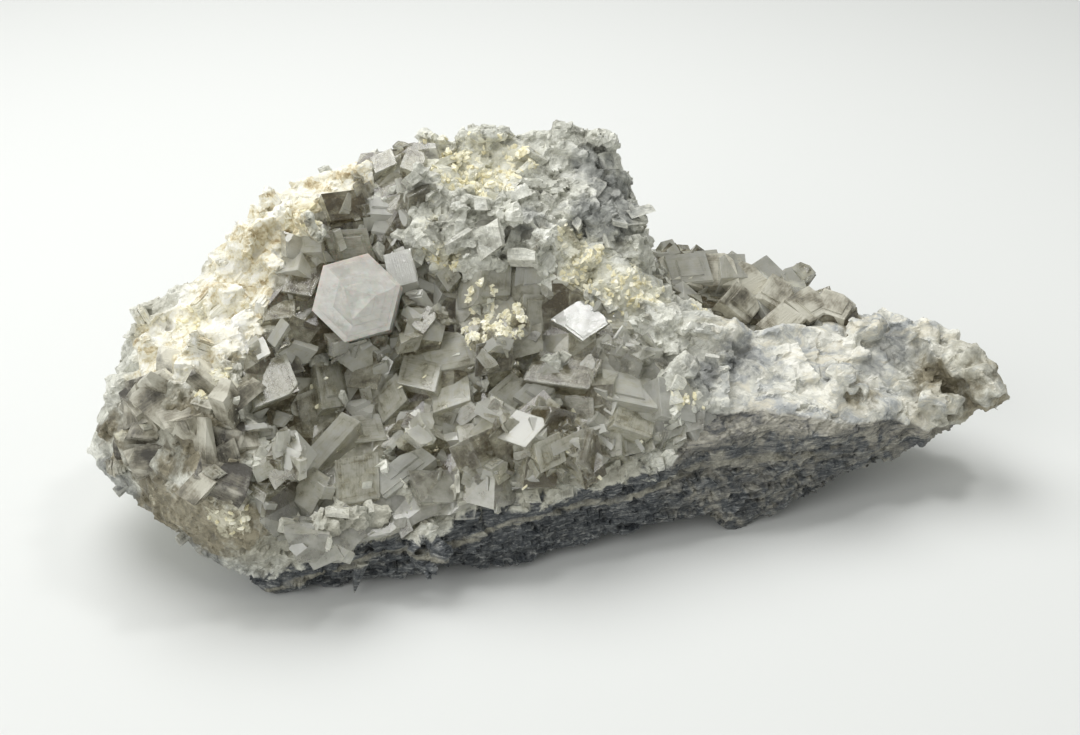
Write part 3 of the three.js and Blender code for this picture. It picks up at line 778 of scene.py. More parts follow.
def bookBlocks(rock, kind):
    values = {**plateBooks, **plateBooks[kind]}
    points, normals = spotsOn(rock, values["stacks"] * values["tries"], values["seed"])
    dice = random.Random(values["seed"])
    ridge = zoneShare(points, zones["cream"])
    wanted = np.maximum(ridge * values["onRidge"], leftLump(points) * values["onLump"])
    wanted = wanted * rising(bedHeight(points), 25, 4) * rising(points[:, 0], -92, 5)
    wanted = wanted * besideHollow(points)
    blocks = []
    made = 0
    for point, normal, chance in zip(points, normals, wanted):
        if made >= values["stacks"] or dice.random() > chance:
            continue
        made += 1
        point, normal = Vector(point), Vector(normal)
        wobble = wobbleOf(dice)
        size = [dice.uniform(*values["edge"]), dice.uniform(*values["edge"]) * values["narrow"]]
        count = dice.randint(*values["plates"])
        if point.y > values["back"]:
            size = [values["backSize"] * edge for edge in size]
            count = values["backPlates"]
        if dice.random() < values["onEdge"]:
            # the book stands on edge, and its leaves' ends show as fibres
            facing = (wobble.cross(normal).normalized() + 0.3 * normal).normalized()
            level = seatTurn(facing, 0)
            spin = math.degrees(math.atan2(normal.dot(level.col[1]), normal.dot(level.col[0])))
            turn = seatTurn(facing, spin + dice.uniform(-values["spin"], values["spin"]))
            start = point - normal * 0.4 * size[0]
            depth = -0.6 * count
        else:
            turn = seatTurn((normal + values["lean"] * wobble).normalized(), dice.uniform(0, 360))
            start = point
            depth = -0.05 * min(size)
        for plate in range(count):
            thick = dice.uniform(*values["plate"])
            drift = turn @ Vector([dice.uniform(-values["drift"], values["drift"]) for _ in "xy"] + [0])
            middle = start - turn.col[2] * depth + drift
            share = 1 - 0.4 * abs(plate / count - 0.4)
            form = dice.choice(("blade", "brokenBlade"))
            edges = (size[0] * share, size[1] * share, thick)
            addBlock(blocks, form, middle, turn, edges, tone=dice.random())
            depth += thick * dice.uniform(*values["packed"])
    return blocks


def massiveBlocks(crust):
    # broken massive dolomite that overgrows the crystals under the crest and at the right
    values = massiveCover
    points, normals = spotsOn(crust, values["tries"], values["seed"])
    dice = random.Random(values["seed"])
    blocks = []
    for point, normal in zip(points, normals):
        x, y, z = point
        rightRim = 30 < x < 36 and y < 14 and dice.random() < values["rightShare"]
        lowRim = 17 < z < 21 + 3 * noise.noise(Vector(point) * 0.15) and -46 < y < -30 and x < -22
        covered = underCrest(x, z) or rightRim or lowRim
        if not covered or normal[2] < -0.2 or z > values["top"]:
            continue
        turn = looseTurn(dice, normal, values["lean"])
        size = sizeFrom(dice, values)
        if lowRim:
            size = [values["rimSize"] * edge for edge in size]
        sunk = values["sunk" if z < values["highFrom"] and not lowRim else "sunkMore"]
        at = Vector(point) - sunk * size[2] * Vector(normal)
        addBlock(blocks, dice.choice(splinters), at, turn, size)
    return blocks


def tipBlocks():
    blocks = []
    dice = random.Random(tipLumps["seed"])
    for middle, reach, count, edges in tipLumps["heaps"]:
        for _ in range(count):
            away = Vector([dice.uniform(-1, 1) * side for side in reach])
            facing = wobbleOf(dice).normalized()
            size = [dice.uniform(*edges) for _ in range(3)]
            form = dice.choice(splinters)
            addBlock(blocks, form, Vector(middle) + away, seatTurn(facing, dice.uniform(0, 360)), size)
    return blocks


def keepLargest(piece):
    # drops the crumbs that hang on nothing
    editAll(piece, bpy.ops.mesh.separate, type="LOOSE")
    parts = sorted(bpy.context.selected_objects, key=lambda part: len(part.data.polygons))
    piece.data, parts[-1].data = parts[-1].data, piece.data
    for part in parts:
        if part != piece:
            bpy.data.objects.remove(part)
    print("stage: loose crumbs dropped", len(parts) - 1)


def makeRock():
    # the blocks and the body are fused into one skin before it is chipped
    rock = copyOfNode("matrix_rock", "rock_right")
    blocks = grainBlocks(rock) + bookBlocks(rock, "fused")
    blocks += massiveBlocks(frame["nodes"]["front_crystal_crust"]) + tipBlocks()
    print("stage: rock blocks", len(blocks))
    relief = joinBlocks(blocks, "relief")
    pick(rock)
    relief.select_set(True)
    bpy.ops.object.join()
    remesh = rock.modifiers.new("even", "REMESH")
    remesh.mode = "VOXEL"
    remesh.voxel_size = rockBody["voxel"] * mm
    applyAll(rock)
    keepLargest(rock)
    points = own(vertexPoints(rock.data))
    bedPart = np.maximum(rising(bedHeight(points), 15, -4), 0.4 * underShare(points))
    chipPart = (1 - 0.9 * bedPart) * (1 - 0.5 * bookShare(points))
    nearThorn = np.linalg.norm(points - np.array(thorn["at"]), axis=1) < thorn["clear"]
    chipPart = np.where(nearThorn & (points[:, 2] < thorn["top"]), 0, chipPart)
    paint(rock, "bedPart", bedPart)
    paint(rock, "coarsePart", chipPart * (1 - 0.5 * armShare(points)))
    paint(rock, "finePart", chipPart * (1 - 0.85 * armShare(points)))
    chips, swells = chipTree(), swellTree()
    shapeSkin(rock, swells, rockBody["swell"])
    parts = ("coarsePart", "finePart", "bedPart", "bedPart")
    for values, part in zip(rockBody["breaks"] + rockBody["beds"], parts):
        shapeSkin(rock, chips, dict(zip(chipNames, values)), part)
    shapeSkin(rock, swells, rockBody["ripple"])
    applyAll(rock)
    paintZones(rock)
    paint(rock, "tone", np.full(len(rock.data.vertices), 0.5))
    return rock


def makeBooks(rock):
    blocks = bookBlocks(rock, "crisp")
    addBlock(blocks, "thorn", thorn["at"], Matrix.Identity(3), thorn["size"])
    books = joinBlocks(blocks, "plate_books")
    paintZones(books)
    return books


def splitRock(rock):
    # two meshes that meet edge to edge, as one would be too heavy
    border = world((rockBody["split"], 0, 0)).x
    openFaces(rock, lambda face: face.calc_center_median().x < border)
    bpy.ops.mesh.separate(type="SELECTED")
    bpy.ops.object.mode_set(mode="OBJECT")
    left = [piece for piece in bpy.context.selected_objects if piece != rock][0]
    left.name = "rock_left"
    return left


# large smoky blocks that make up the left lump
lumpCover = {
    "tries": 1500, "edge": (5.0, 11.0), "thick": (2.5, 6.0), "share": 0.5, "lean": 0.5, "sunk": 0.4,
    "seed": 47,
    # the row of blocks: middle of the outer face, edges, (azimuth, height) it faces, spin
    "row": [
        ((33, 27, 43), (9, 8, 8), (-20, 50), 15), ((41, 27, 43), (10, 8, 9), (-5, 40), 5),
        ((49, 26, 40.5), (8, 10, 8), (20, 45), 20), ((47, 20, 38), (7, 9, 8), (35, 35), 25),
        ((56, 24, 38.5), (8, 8, 8), (30, 50), 30), ((63, 22, 36.5), (8, 8, 7), (25, 55), 15),
        ((56, 17, 34.5), (9, 7, 7), (10, 50), 35), ((69, 23, 36), (7, 8, 6), (10, 60), 50),
    ],
    "rowForms": ("nicked", "chipped", "terraced"), "rowTones": (0.7, 1.0),
}


def makeLumps(rock):
    # smoky massive blocks: the left lump and the row behind the right arm
    values = lumpCover
    points, normals = spotsOn(rock, values["tries"], values["seed"])
    dice = random.Random(values["seed"])
    x, y, z = points.T
    wanted = rising(x, -57, -5) * rising(bedHeight(points), 27, 4) * rising(y, -16, -5)
    wanted = wanted * rising(z, 45, -3) * rising(x, -90, 4) * besideHollow(points) * values["share"]
    blocks = []
    for point, normal, chance in zip(points, normals, wanted):
        if dice.random() > chance:
            continue
        turn = looseTurn(dice, normal, values["lean"])
        size = sizeFrom(dice, values)
        form = dice.choice(splinters + ["nicked"])
        at = Vector(point) - values["sunk"] * size[2] * Vector(normal)
        addBlock(blocks, form, at, turn, size, tone=dice.random())
    for at, size, facing, spin in values["row"]:
        form = dice.choice(values["rowForms"])
        turn = seatTurn(direction(*facing), spin)
        addBlock(blocks, form, at, turn, size, tone=dice.uniform(*values["rowTones"]), seated=True)
    lumpPiece = joinBlocks(blocks, "smoky_lumps")
    paintZones(lumpPiece)
    return lumpPiece


# cleaved_chips: small sharp plates in patches over the broken rock, larger ones on the peak
cleavedChips = {
    "tries": 3200, "edge": (1.4, 5.0), "thick": (0.6, 2.0), "lean": 0.4, "seed": 43,
    "patches": 0.2, "peakFrom": 47, "top": 70, "peakSize": 1.5,
    "share": 2.2, "peakShare": 1.1, "sunk": 0.3, "peakSunk": 0.45,
    "ridgeEnd": -40, "ridgeSkip": 0.8, "rightEnd": 64,  # few on the ridge's end, none on the arm's
}


def makeChips(rock):
    values = cleavedChips
    points, normals = spotsOn(rock, values["tries"], values["seed"])
    dice = random.Random(values["seed"])
    blocks = []
    for point, normal, chance in zip(points, normals, roughness(points)):
        patch = noise.noise(Vector(point) * values["patches"]) + 0.5
        high = point[2] > values["peakFrom"]
        share = values["peakShare"] if high else values["share"]
        if dice.random() > chance * share * patch or point[2] > values["top"]:
            continue
        onRidge = high and point[0] < values["ridgeEnd"]
        if (onRidge and dice.random() < values["ridgeSkip"]) or point[0] > values["rightEnd"]:
            continue
        turn = looseTurn(dice, normal, values["lean"])
        size = sizeFrom(dice, values)
        if high:
            size = [values["peakSize"] * edge for edge in size]
        at = Vector(point) - values["peakSunk" if high else "sunk"] * size[2] * Vector(normal)
        addBlock(blocks, dice.choice(splinters), at, turn, size, tone=dice.random())
    print("stage: chips", len(blocks))
    chips = joinBlocks(blocks, "cleaved_chips")
    paintZones(chips)
    return chips


# cream_flakes: loose-looking cream flakes, held in patches, and pale crumbs between the crystals
creamFlakes = {
    "tries": 36000, "edge": (0.5, 1.6), "thick": (0.3, 0.9), "lean": 0.9, "proud": 0.3, "seed": 37,
    # they lie where the sum of these noises, (how fine, weight), is over clumpFrom - ease * share
    "clumps": [(0.42, 1), (1.1, 0.4), (0.13, 0.5)], "clumpFrom": 0.25, "ease": 0.26, "share": 0.3,
    "facing": (0, -0.45, 0.9), "faced": 0.8,
    # crumbs: a heap of them at each spot on the crystal at creamTop, one at a time in the cracks
    "crumbTries": 9000, "creamTop": (-10, -2, 46), "creamReach": 8, "heap": 8,
    "crumb": {"edge": (0.5, 1.4), "thick": (0.3, 0.7)}, "crumbLean": 1.6, "crumbDrift": 1.1,
}


def makeFlakes(rock, chips, crystals):
    values = creamFlakes
    spots = [spotsOn(piece, values["tries"], values["seed"], piece is chips) for piece in (rock, chips)]
    points = np.concatenate([found[0] for found in spots])
    normals = np.concatenate([found[1] for found in spots])
    dice = random.Random(values["seed"])
    blocks = []
    for point, normal, chance in zip(points, normals, zoneShare(points, zones["yellow"])):
        point, normal = Vector(point), Vector(normal)
        clump = sum(weight * noise.noise(point * fine) for fine, weight in values["clumps"])
        needed = values["clumpFrom"] - values["ease"] * chance
        if chance < values["share"] or clump < needed or normal.z < -0.3:
            continue
        turn = looseTurn(dice, normal + values["faced"] * Vector(values["facing"]), values["lean"])
        size = sizeFrom(dice, values)
        at = point + normal * dice.uniform(0.0, values["proud"])
        addBlock(blocks, "flake", at, turn, size, tone=dice.random(), seated=True)
    reach = values["crumbDrift"]
    points, normals = spotsOn(crystals, values["crumbTries"], values["seed"] + 1, True)
    for point, normal in zip(points, normals):
        point, normal = Vector(point), Vector(normal)
        onCream = (point - Vector(values["creamTop"])).length < values["creamReach"]
        onCream = onCream and noise.noise(point * 0.5) > -0.12
        inCracks = noise.noise(point * 0.16) > 0.3 and noise.noise(point * 0.9) > 0.42
        if normal.z < 0.3 or not (onCream or inCracks):
            continue
        for _ in range(values["heap"] if onCream else 1):
            wobble = wobbleOf(dice)
            facing = (normal + values["crumbLean"] * wobble).normalized()
            turn = seatTurn(facing, dice.uniform(0, 360))
            size = sizeFrom(dice, values["crumb"])
            drift = Vector((0, 0, 0))
            if onCream:
                drift = reach * wobble - (reach * wobble.dot(normal) + 0.1) * normal
            at = point + 0.15 * normal + drift
            addBlock(blocks, "flake", at, turn, size, tone=dice.uniform(0.4, 1), seated=True)
    print("stage: flakes", len(blocks))
    return joinBlocks(blocks, "cream_flakes")


# the crystals of the two pockets: middle of the outer face, edges, (azimuth, height) it faces,
# spin, form, and where they differ from 0.5, 0 and 0, the tone, stain and milk
frontCrystals = [
    ((-49, -4, 43), (10.5, 9.5, 9), (15, 70), 275, "terraced", 0.05, 0.3),
    ((-56, -4, 48), (6.5, 6.5, 6), (45, 80), 235, "plain", 0.3, 0.3),
    ((-52, 3, 51), (6, 6, 5), (30, 60), 230, "plain", 0.2, 0.1),
    ((-54, 9, 57), (4.5, 5, 7), (45, 25), 145, "chipped", 0.9, 0.3, 0.5),
    ((-50, 10, 58), (5, 5, 6), (-30, 45), 15, "plain", 0.6, 0.2, 0.2),
    ((-42, 12, 56), (9, 8, 7), (10, 10), 0, "terraced", 0.45),
    ((-20, 7, 51), (4, 4, 6), (0, 40), 125, "plain"),
    ((-15, 4, 49), (7, 7, 6), (-55, 25), 290, "nicked", 0.6),
    ((-10, 6, 51), (7.5, 7, 6), (35, 35), 65, "plain"),
    ((-10, -1, 43), (15, 13, 9), (-35, 65), 325, "nicked", 0.9, 0.6, 0.8),
    ((5, -9, 36), (9.5, 14, 6), (10, 75), 240, "plain", 0.25),
    # the next crystal's white tone and full milk are partly a painted glint; the small lamp also puts a
    # real one on it
    ((9, 1, 43), (8.5, 8, 5), (25, 60), 200, "chipped", 1.0, 0.0, 1.0),
    ((19, -12, 33), (10.5, 9, 6), (45, 75), 130, "terraced", 0.7, 0.1),
    ((20, -18, 29), (8.5, 8.5, 6), (70, 65), 190, "plain", 0.45),
    ((29, -14, 32), (8, 8, 7), (30, 35), 335, "nicked", 1.0, 0.25, 0.8),
    ((-19, -12, 32), (8.5, 8, 5), (-40, 75), 315, "plain", 0.6),
    ((-17, -15, 30), (6, 6, 6), (-15, 30), 45, "plain"),
    ((-45, -11, 34), (10, 8.5, 6), (65, 35), 55, "terraced", 0.45),
    ((-26, -8, 35), (8.5, 8.5, 5), (-10, 70), 170, "plain"),
    ((-32, -12, 31), (7, 7, 6), (-40, 45), 325, "plain"),
    ((-56, -20, 40), (10, 10, 9), (30, 68), 265, "nicked", 0.4, 0.4),
    ((-50, -17, 31), (7.5, 7, 6), (45, 30), 75, "terraced", 0.3),
    ((-44, -24, 28), (13, 4, 8), (0, 45), 50, "plain", 0.6),
    ((-37, -18, 27), (6.5, 6, 6), (10, 55), 180, "plain"),
    ((-38, -31, 23), (9.5, 9, 8), (25, 50), 75, "plain", 0.45),
    ((-14, -21, 27), (7, 6.5, 6), (25, 80), 255, "nicked"),
    ((-29, -28, 23), (13, 5, 7), (0, 50), 40, "stepped", 0.9, 0.4, 0.7),
    ((-35, 26, 70), (5.5, 5, 5), (-25, 70), 310, "plain", 0.35, 0.1),
    ((-28, 24, 71), (5, 5, 6), (-25, 55), 350, "nicked", 0.35, 0.1),
    ((-35, 19, 63), (7.5, 8, 6), (35, 65), 55, "terraced", 0.85, 0.3, 0.5),
    ((-6, -12, 33), (7, 6, 6), (20, 50), 30, "plain", 0.55),
    ((0, -12, 34), (10, 5, 6), (10, 45), 40, "terraced", 0.7, 0.0, 0.2),
    ((8, -14, 30), (8, 7, 6), (-30, 40), 10, "plain", 0.4),
    ((-1, 3, 44), (8, 8, 7), (40, 30), 60, "plain"),
    ((-20, -4, 38), (10, 8, 6), (-15, 50), 20, "nicked", 0.55),
    ((-1, 9, 50), (6, 9, 6), (10, 30), 80, "terraced", 0.7, 0.0, 0.3),
]
backCrystals = [
    ((35, 27, 43), (9, 7, 8), (-10, 40), 10, "terraced", 0.65, 0.15, 0.55),
    ((40, 29, 43), (5, 7, 8), (-10, 45), 10, "plain", 0.6, 0.15, 0.55),
    ((45, 28, 43), (6, 7, 8), (40, 50), 60, "nicked", 0.6, 0.15, 0.55),
    ((53, 31, 40), (7, 6, 8), (5, 40), 30, "plain", 0.8, 0.15, 0.6),
    ((60, 31, 38), (6, 6, 8), (45, 50), 70, "nicked", 0.8, 0.15, 0.6),
    ((55, 22, 33), (8, 10, 8), (60, 45), 150, "plain", 0.8, 0.15, 0.6),
    ((48, 24, 36), (6, 7, 7), (10, 30), 40, "plain", 0.8, 0.15, 0.6),
    ((64, 24, 34), (6, 11, 6), (75, 50), 140, "terraced", 0.8, 0.15, 0.6),
]
placedGrowth = {"proud": 0.9, "wider": 0.5}  # mm, added to the crystals placed above
crystalTries = 9000  # places on a crust that are looked at for its small crystals
smallLooks = {
    "thin": (0.15, 0.4), "tone": (0.1, 0.95), "stains": (0, 0, 0, 0, 0.25),
    "milk": (0.3, 1), "milky": 0.06, "milkier": 0.5,  # a few are milkier by chance
}
# the foot of the front pocket bears few crystals, and none of the larger ones: heights in mm
pocketFoot = {"top": 25, "low": 22, "skipped": 0.75, "growth": 0.35}
smallCrystals = {
    # sizes are (count, least edge, most edge, sunk to proud, share of thin plates, lean)
    "front_crystals": {
        "outward": (0.15, -1, 0.9), "seed": 23,
        "sizes": [(70, 5.0, 8.5, (-0.9, 0.5), 0.6, 0.55), (430, 2.2, 5.0, (-0.5, 0.5), 0.6, 0.9)],
    },
    "back_crystals": {
        "outward": (0.3, 0.2, 1), "seed": 24,
        "sizes": [(14, 5.0, 7.0, (-1.2, 0.0), 0, 0.3), (70, 2.4, 4.5, (-0.6, 0.1), 0.05, 0.4)],
    },
}


def crystalMilk(point):
    # the crystals are milky along the lower rim, the right rim and under the crest
    lowRim = rising(point.z, 25, -4) if point.y < -26 else 0
    rightRim = rising(point.x, 10, 10) if point.x < 40 and point.y < 12 else 0
    return max(lowRim, rightRim, rising(point.z, 50, 5) * rising(point.x, -30, 5))


def freeForSmall(point, placed, least):
    # small crystals keep off the cream ridge and off the faces of the placed ones
    ridgeEdge = -43 - 0.87 * (67 - point.z) + 2
    if (point.z > 43 and point.x < ridgeEdge) or point.x > 62:
        return False
    if underCrest(point.x, point.z):
        return False
    for at, size, facing, *rest in placed:
        away = point - Vector(at)
        outward = direction(*facing)
        sideways = (away - outward * away.dot(outward)).length
        if sideways < 0.48 * max(size[0], size[1]) + 0.35 * least and away.length < 8 + 0.3 * least:
            return False
    return True


def copyCrust(nodeName, name):
    # the node's crystals, where each flat face has a tone of its own
    crust = copyOfNode(nodeName, name)
    for label, fill in (("across", 0.0), ("half", 4.0)):
        layer = crust.data.uv_layers.new(name=label)
        layer.data.foreach_set("uv", np.full(len(crust.data.loops) * 2, fill, np.float32))
    tones = []
    for face in crust.data.polygons:
        plane = Vector(face.normal) * 3 + Vector((0, 0, round(face.normal.dot(face.center) / mm / 0.8)))
        tones.append(noise.cell(Vector([round(v * 4) / 4 + 0.05 for v in plane])) * 0.5 + 0.5)
    milks = [crystalMilk(Vector(own(face.center))) * 0.8 for face in crust.data.polygons]
    paint(crust, "tone", np.array(tones) * 0.55, "FACE")
    paint(crust, "stain", np.zeros(len(tones)), "FACE")
    paint(crust, "milk", milks, "FACE")
    return crust


def makeCrystals(nodeName, name, placed):
    values = smallCrystals[name]
    inFront = name == "front_crystals"
    crust = copyCrust(nodeName, name)
    blocks = []
    for at, size, facing, spin, form, *looks in placed:
        normal = direction(*facing)
        at = Vector(at) + placedGrowth["proud"] * normal
        edges = [edge + placedGrowth["wider"] for edge in size]
        addBlock(blocks, form, at, seatTurn(normal, spin), edges, *looks, seated=True)
    dice = random.Random(values["seed"])
    outward = Vector(values["outward"]).normalized()
    spots = iter([
        (Vector(point), Vector(normal))
        for point, normal in zip(*spotsOn(crust, crystalTries, values["seed"]))
        if Vector(normal).dot(outward) > 0.02
    ])
    for count, least, most, proud, thin, leaning in values["sizes"]:
        made = 0
        while made < count:
            point, normal = next(spots)
            if not freeForSmall(point, placed, least):
                continue
            made += 1
            if inFront and least > 4 and point.z < pocketFoot["top"]:
                continue
            if inFront and point.z < pocketFoot["low"] and dice.random() < pocketFoot["skipped"]:
                continue
            lean = wobbleOf(dice)
            atFoot = inFront and point.z <= pocketFoot["top"]
            tall = least + pocketFoot["growth"] * (most - least) if atFoot else most
            size = [dice.uniform(least, tall) for _ in range(3)]
            if dice.random() < thin:
                size[dice.choice((0, 2))] *= dice.uniform(*smallLooks["thin"])
            milk = crystalMilk(point) * dice.uniform(*smallLooks["milk"])
            if dice.random() < smallLooks["milky"]:
                milk += smallLooks["milkier"]
            form = dice.choice(["plain", "terraced", "nicked"] + (splinters if least < 4 else []))
            at = point + normal * dice.uniform(*proud)
            turn = seatTurn((normal + leaning * lean).normalized(), dice.uniform(0, 360))
            tone = dice.uniform(*smallLooks["tone"])
            stain = dice.choice(smallLooks["stains"])
            addBlock(blocks, form, at, turn, size, tone, stain, min(milk, 1), seated=True)
    uniteBlocks(crust, blocks)
    return crust


# calcite_plate: the one pale crystal
calcitePlate = {
    "facing": (0, 33), "bevel": 0.3,
    # low growth steps, each on the one before: how far in, the shift to a side, the rise
    "steps": [(1.0, (0.2, 0.15), 0.07), (2.4, (0.6, -0.5), 0.07), (1.6, (-0.5, -0.4), 0.05)],
}


def makeCalcite():
    plate = copyOfNode("calcite_crystal", "calcite_plate")
    outward = direction(*calcitePlate["facing"])
    level = seatTurn(outward, 0)
    openFaces(plate, lambda face: face.normal.dot(outward) > 0.9)
    for inset, (right, up), rise in calcitePlate["steps"]:
        bpy.ops.mesh.inset(thickness=inset * mm)
        bpy.ops.transform.translate(value=mm * (level @ Vector((right, up, 0))))
        bpy.ops.mesh.extrude_region_move(TRANSFORM_OT_translate={"value": mm * rise * outward})
    bpy.ops.object.mode_set(mode="OBJECT")
    bevelEdges(plate, calcitePlate["bevel"] * mm, 2, 30)
    return plate


# what the materials share
def mosaicGroup():
    # grains of crystalline rock: a tone for each, and a facet that tilts its shine
    tree, given, output = newGroup(
        "crystalMosaic", "Shader", {"Place": (0, 0, 0), "Grain": 2.0, "Facet": 0.3, "Normal": (0, 0, 1)},
        {"Tone": "Float", "Seam": "Float", "Normal": "Vector"},
    )
    place = inCells(tree, swayed(tree, given["Place"], 0.5, 2.5), given["Grain"])
    cells = addNode(tree, "ShaderNodeTexVoronoi", {"Vector": place, "Scale": 1.0}).outputs["Color"]
    seams = addNode(
        tree, "ShaderNodeTexVoronoi", {"Vector": place, "Scale": 1.0}, feature="DISTANCE_TO_EDGE",
    ).outputs["Distance"]
    lean = scaledVector(tree, aroundZero(tree, cells), given["Facet"])
    feed(tree, output, {
        "Tone": addNode(tree, "ShaderNodeSeparateColor", {0: cells}).outputs[0],
        "Seam": spread(tree, seams, 0.0, 0.09, 1.0, 0.0),
        "Normal": vectorNode(tree, "NORMALIZE", vectorNode(tree, "ADD", given["Normal"], lean)),
    })
    return tree


def patchGroup():
    # a zone's soft share turned into a ragged patch
    tree, given, output = newGroup(
        "raggedPatch", "Shader",
        {"Share": 0.0, "Place": (0, 0, 0), "Size": 3.0, "Rag": 0.6, "Crisp": 0.15}, {"Patch": "Float"},
    )
    cloud = noiseNode(tree, inCells(tree, given["Place"], given["Size"]), 1.0, 5.0, 0.65)
    push = times(tree, minus(tree, cloud, 0.5), given["Rag"])
    total = mathNode(tree, "MULTIPLY_ADD", push, 4.0, given["Share"])
    patch = spread(tree, total, minus(tree, 0.5, given["Crisp"]), plus(tree, 0.5, given["Crisp"]))
    inZone = mathNode(tree, "GREATER_THAN", given["Share"], 0.02)
    feed(tree, output, {"Patch": times(tree, patch, inZone)})
    return tree


rockTones = {
    # each a ramp of colours from dark to light
    "stone": [
        (0.1, (0.24, 0.235, 0.195)), (0.3, (0.40, 0.397, 0.34)), (0.47, (0.56, 0.56, 0.49)),
        (0.64, (0.72, 0.72, 0.64)), (0.84, (0.92, 0.92, 0.85)),
    ],
    "slate": [(0.2, (0.045, 0.05, 0.056)), (0.5, (0.15, 0.158, 0.158)), (0.8, (0.40, 0.405, 0.38))],
    "arm": [
        (0.15, (0.33, 0.35, 0.365)), (0.4, (0.52, 0.53, 0.515)), (0.58, (0.69, 0.68, 0.60)),
        (0.78, (0.92, 0.90, 0.82)),
    ],
    "massive": [(0.2, (0.24, 0.23, 0.18)), (0.5, (0.40, 0.385, 0.31)), (0.8, (0.62, 0.61, 0.52))],
    "brown": [(0.2, (0.09, 0.075, 0.045)), (0.5, (0.20, 0.175, 0.112)), (0.8, (0.40, 0.355, 0.25))],
    "cream": [
        (0.22, (0.40, 0.30, 0.15)), (0.36, (0.74, 0.65, 0.43)), (0.48, (0.90, 0.86, 0.70)),
        (0.72, (0.98, 0.97, 0.91)),
    ],
    "yellow": [(0.2, (0.58, 0.52, 0.34)), (0.5, (0.80, 0.77, 0.58)), (0.8, (0.92, 0.90, 0.76))],
    "dark": [
        (0.3, (0.026, 0.031, 0.037)), (0.48, (0.085, 0.093, 0.098)), (0.62, (0.20, 0.207, 0.205)),
        (0.76, (0.46, 0.46, 0.43)),
    ],
    "underBeds": [
        (0.25, (0.065, 0.068, 0.068)), (0.42, (0.19, 0.185, 0.165)), (0.56, (0.31, 0.295, 0.245)),
        (0.75, (0.50, 0.485, 0.42)),
    ],
    "paleBed": [(0.3, (0.20, 0.19, 0.155)), (0.6, (0.36, 0.345, 0.28)), (0.8, (0.5, 0.48, 0.4))],
}
rockPatches = {
    # size, raggedness and softness of each zone's edge, and its greatest share of the colour
    "slate": (4.0, 0.55, 0.25, 0.75), "massive": (4.0, 0.5, 0.3, 0.8),
    "brown": (4.0, 0.55, 0.25, 0.93), "cream": (4.5, 0.35, 0.2, 0.95), "yellow": (1.8, 0.9, 0.12, 0.5),
}
rockVeins = [
    # stretch of the flow they follow, greatest share and colour
    ((0.09, 0.16, 0.3), 0.7, (0.90, 0.90, 0.84)), ((0.05, 0.2, 0.42), 0.5, (0.33, 0.335, 0.32)),
]
bedEdges = {"darkTop": 16.8, "stripTop": 13.2, "stripLow": 11.6, "soft": 0.3, "topSoft": 0.7}  # bed mm
rockMasks = (*zones, "bed", "under", "arm")


def patchOf(tree, place, share, size, rag, crisp, most=1.0):
    patch = useGroup(tree, ragged, Share=share, Place=place, Size=size, Rag=rag, Crisp=crisp)[0]
    return patch if most == 1.0 else times(tree, patch, most)


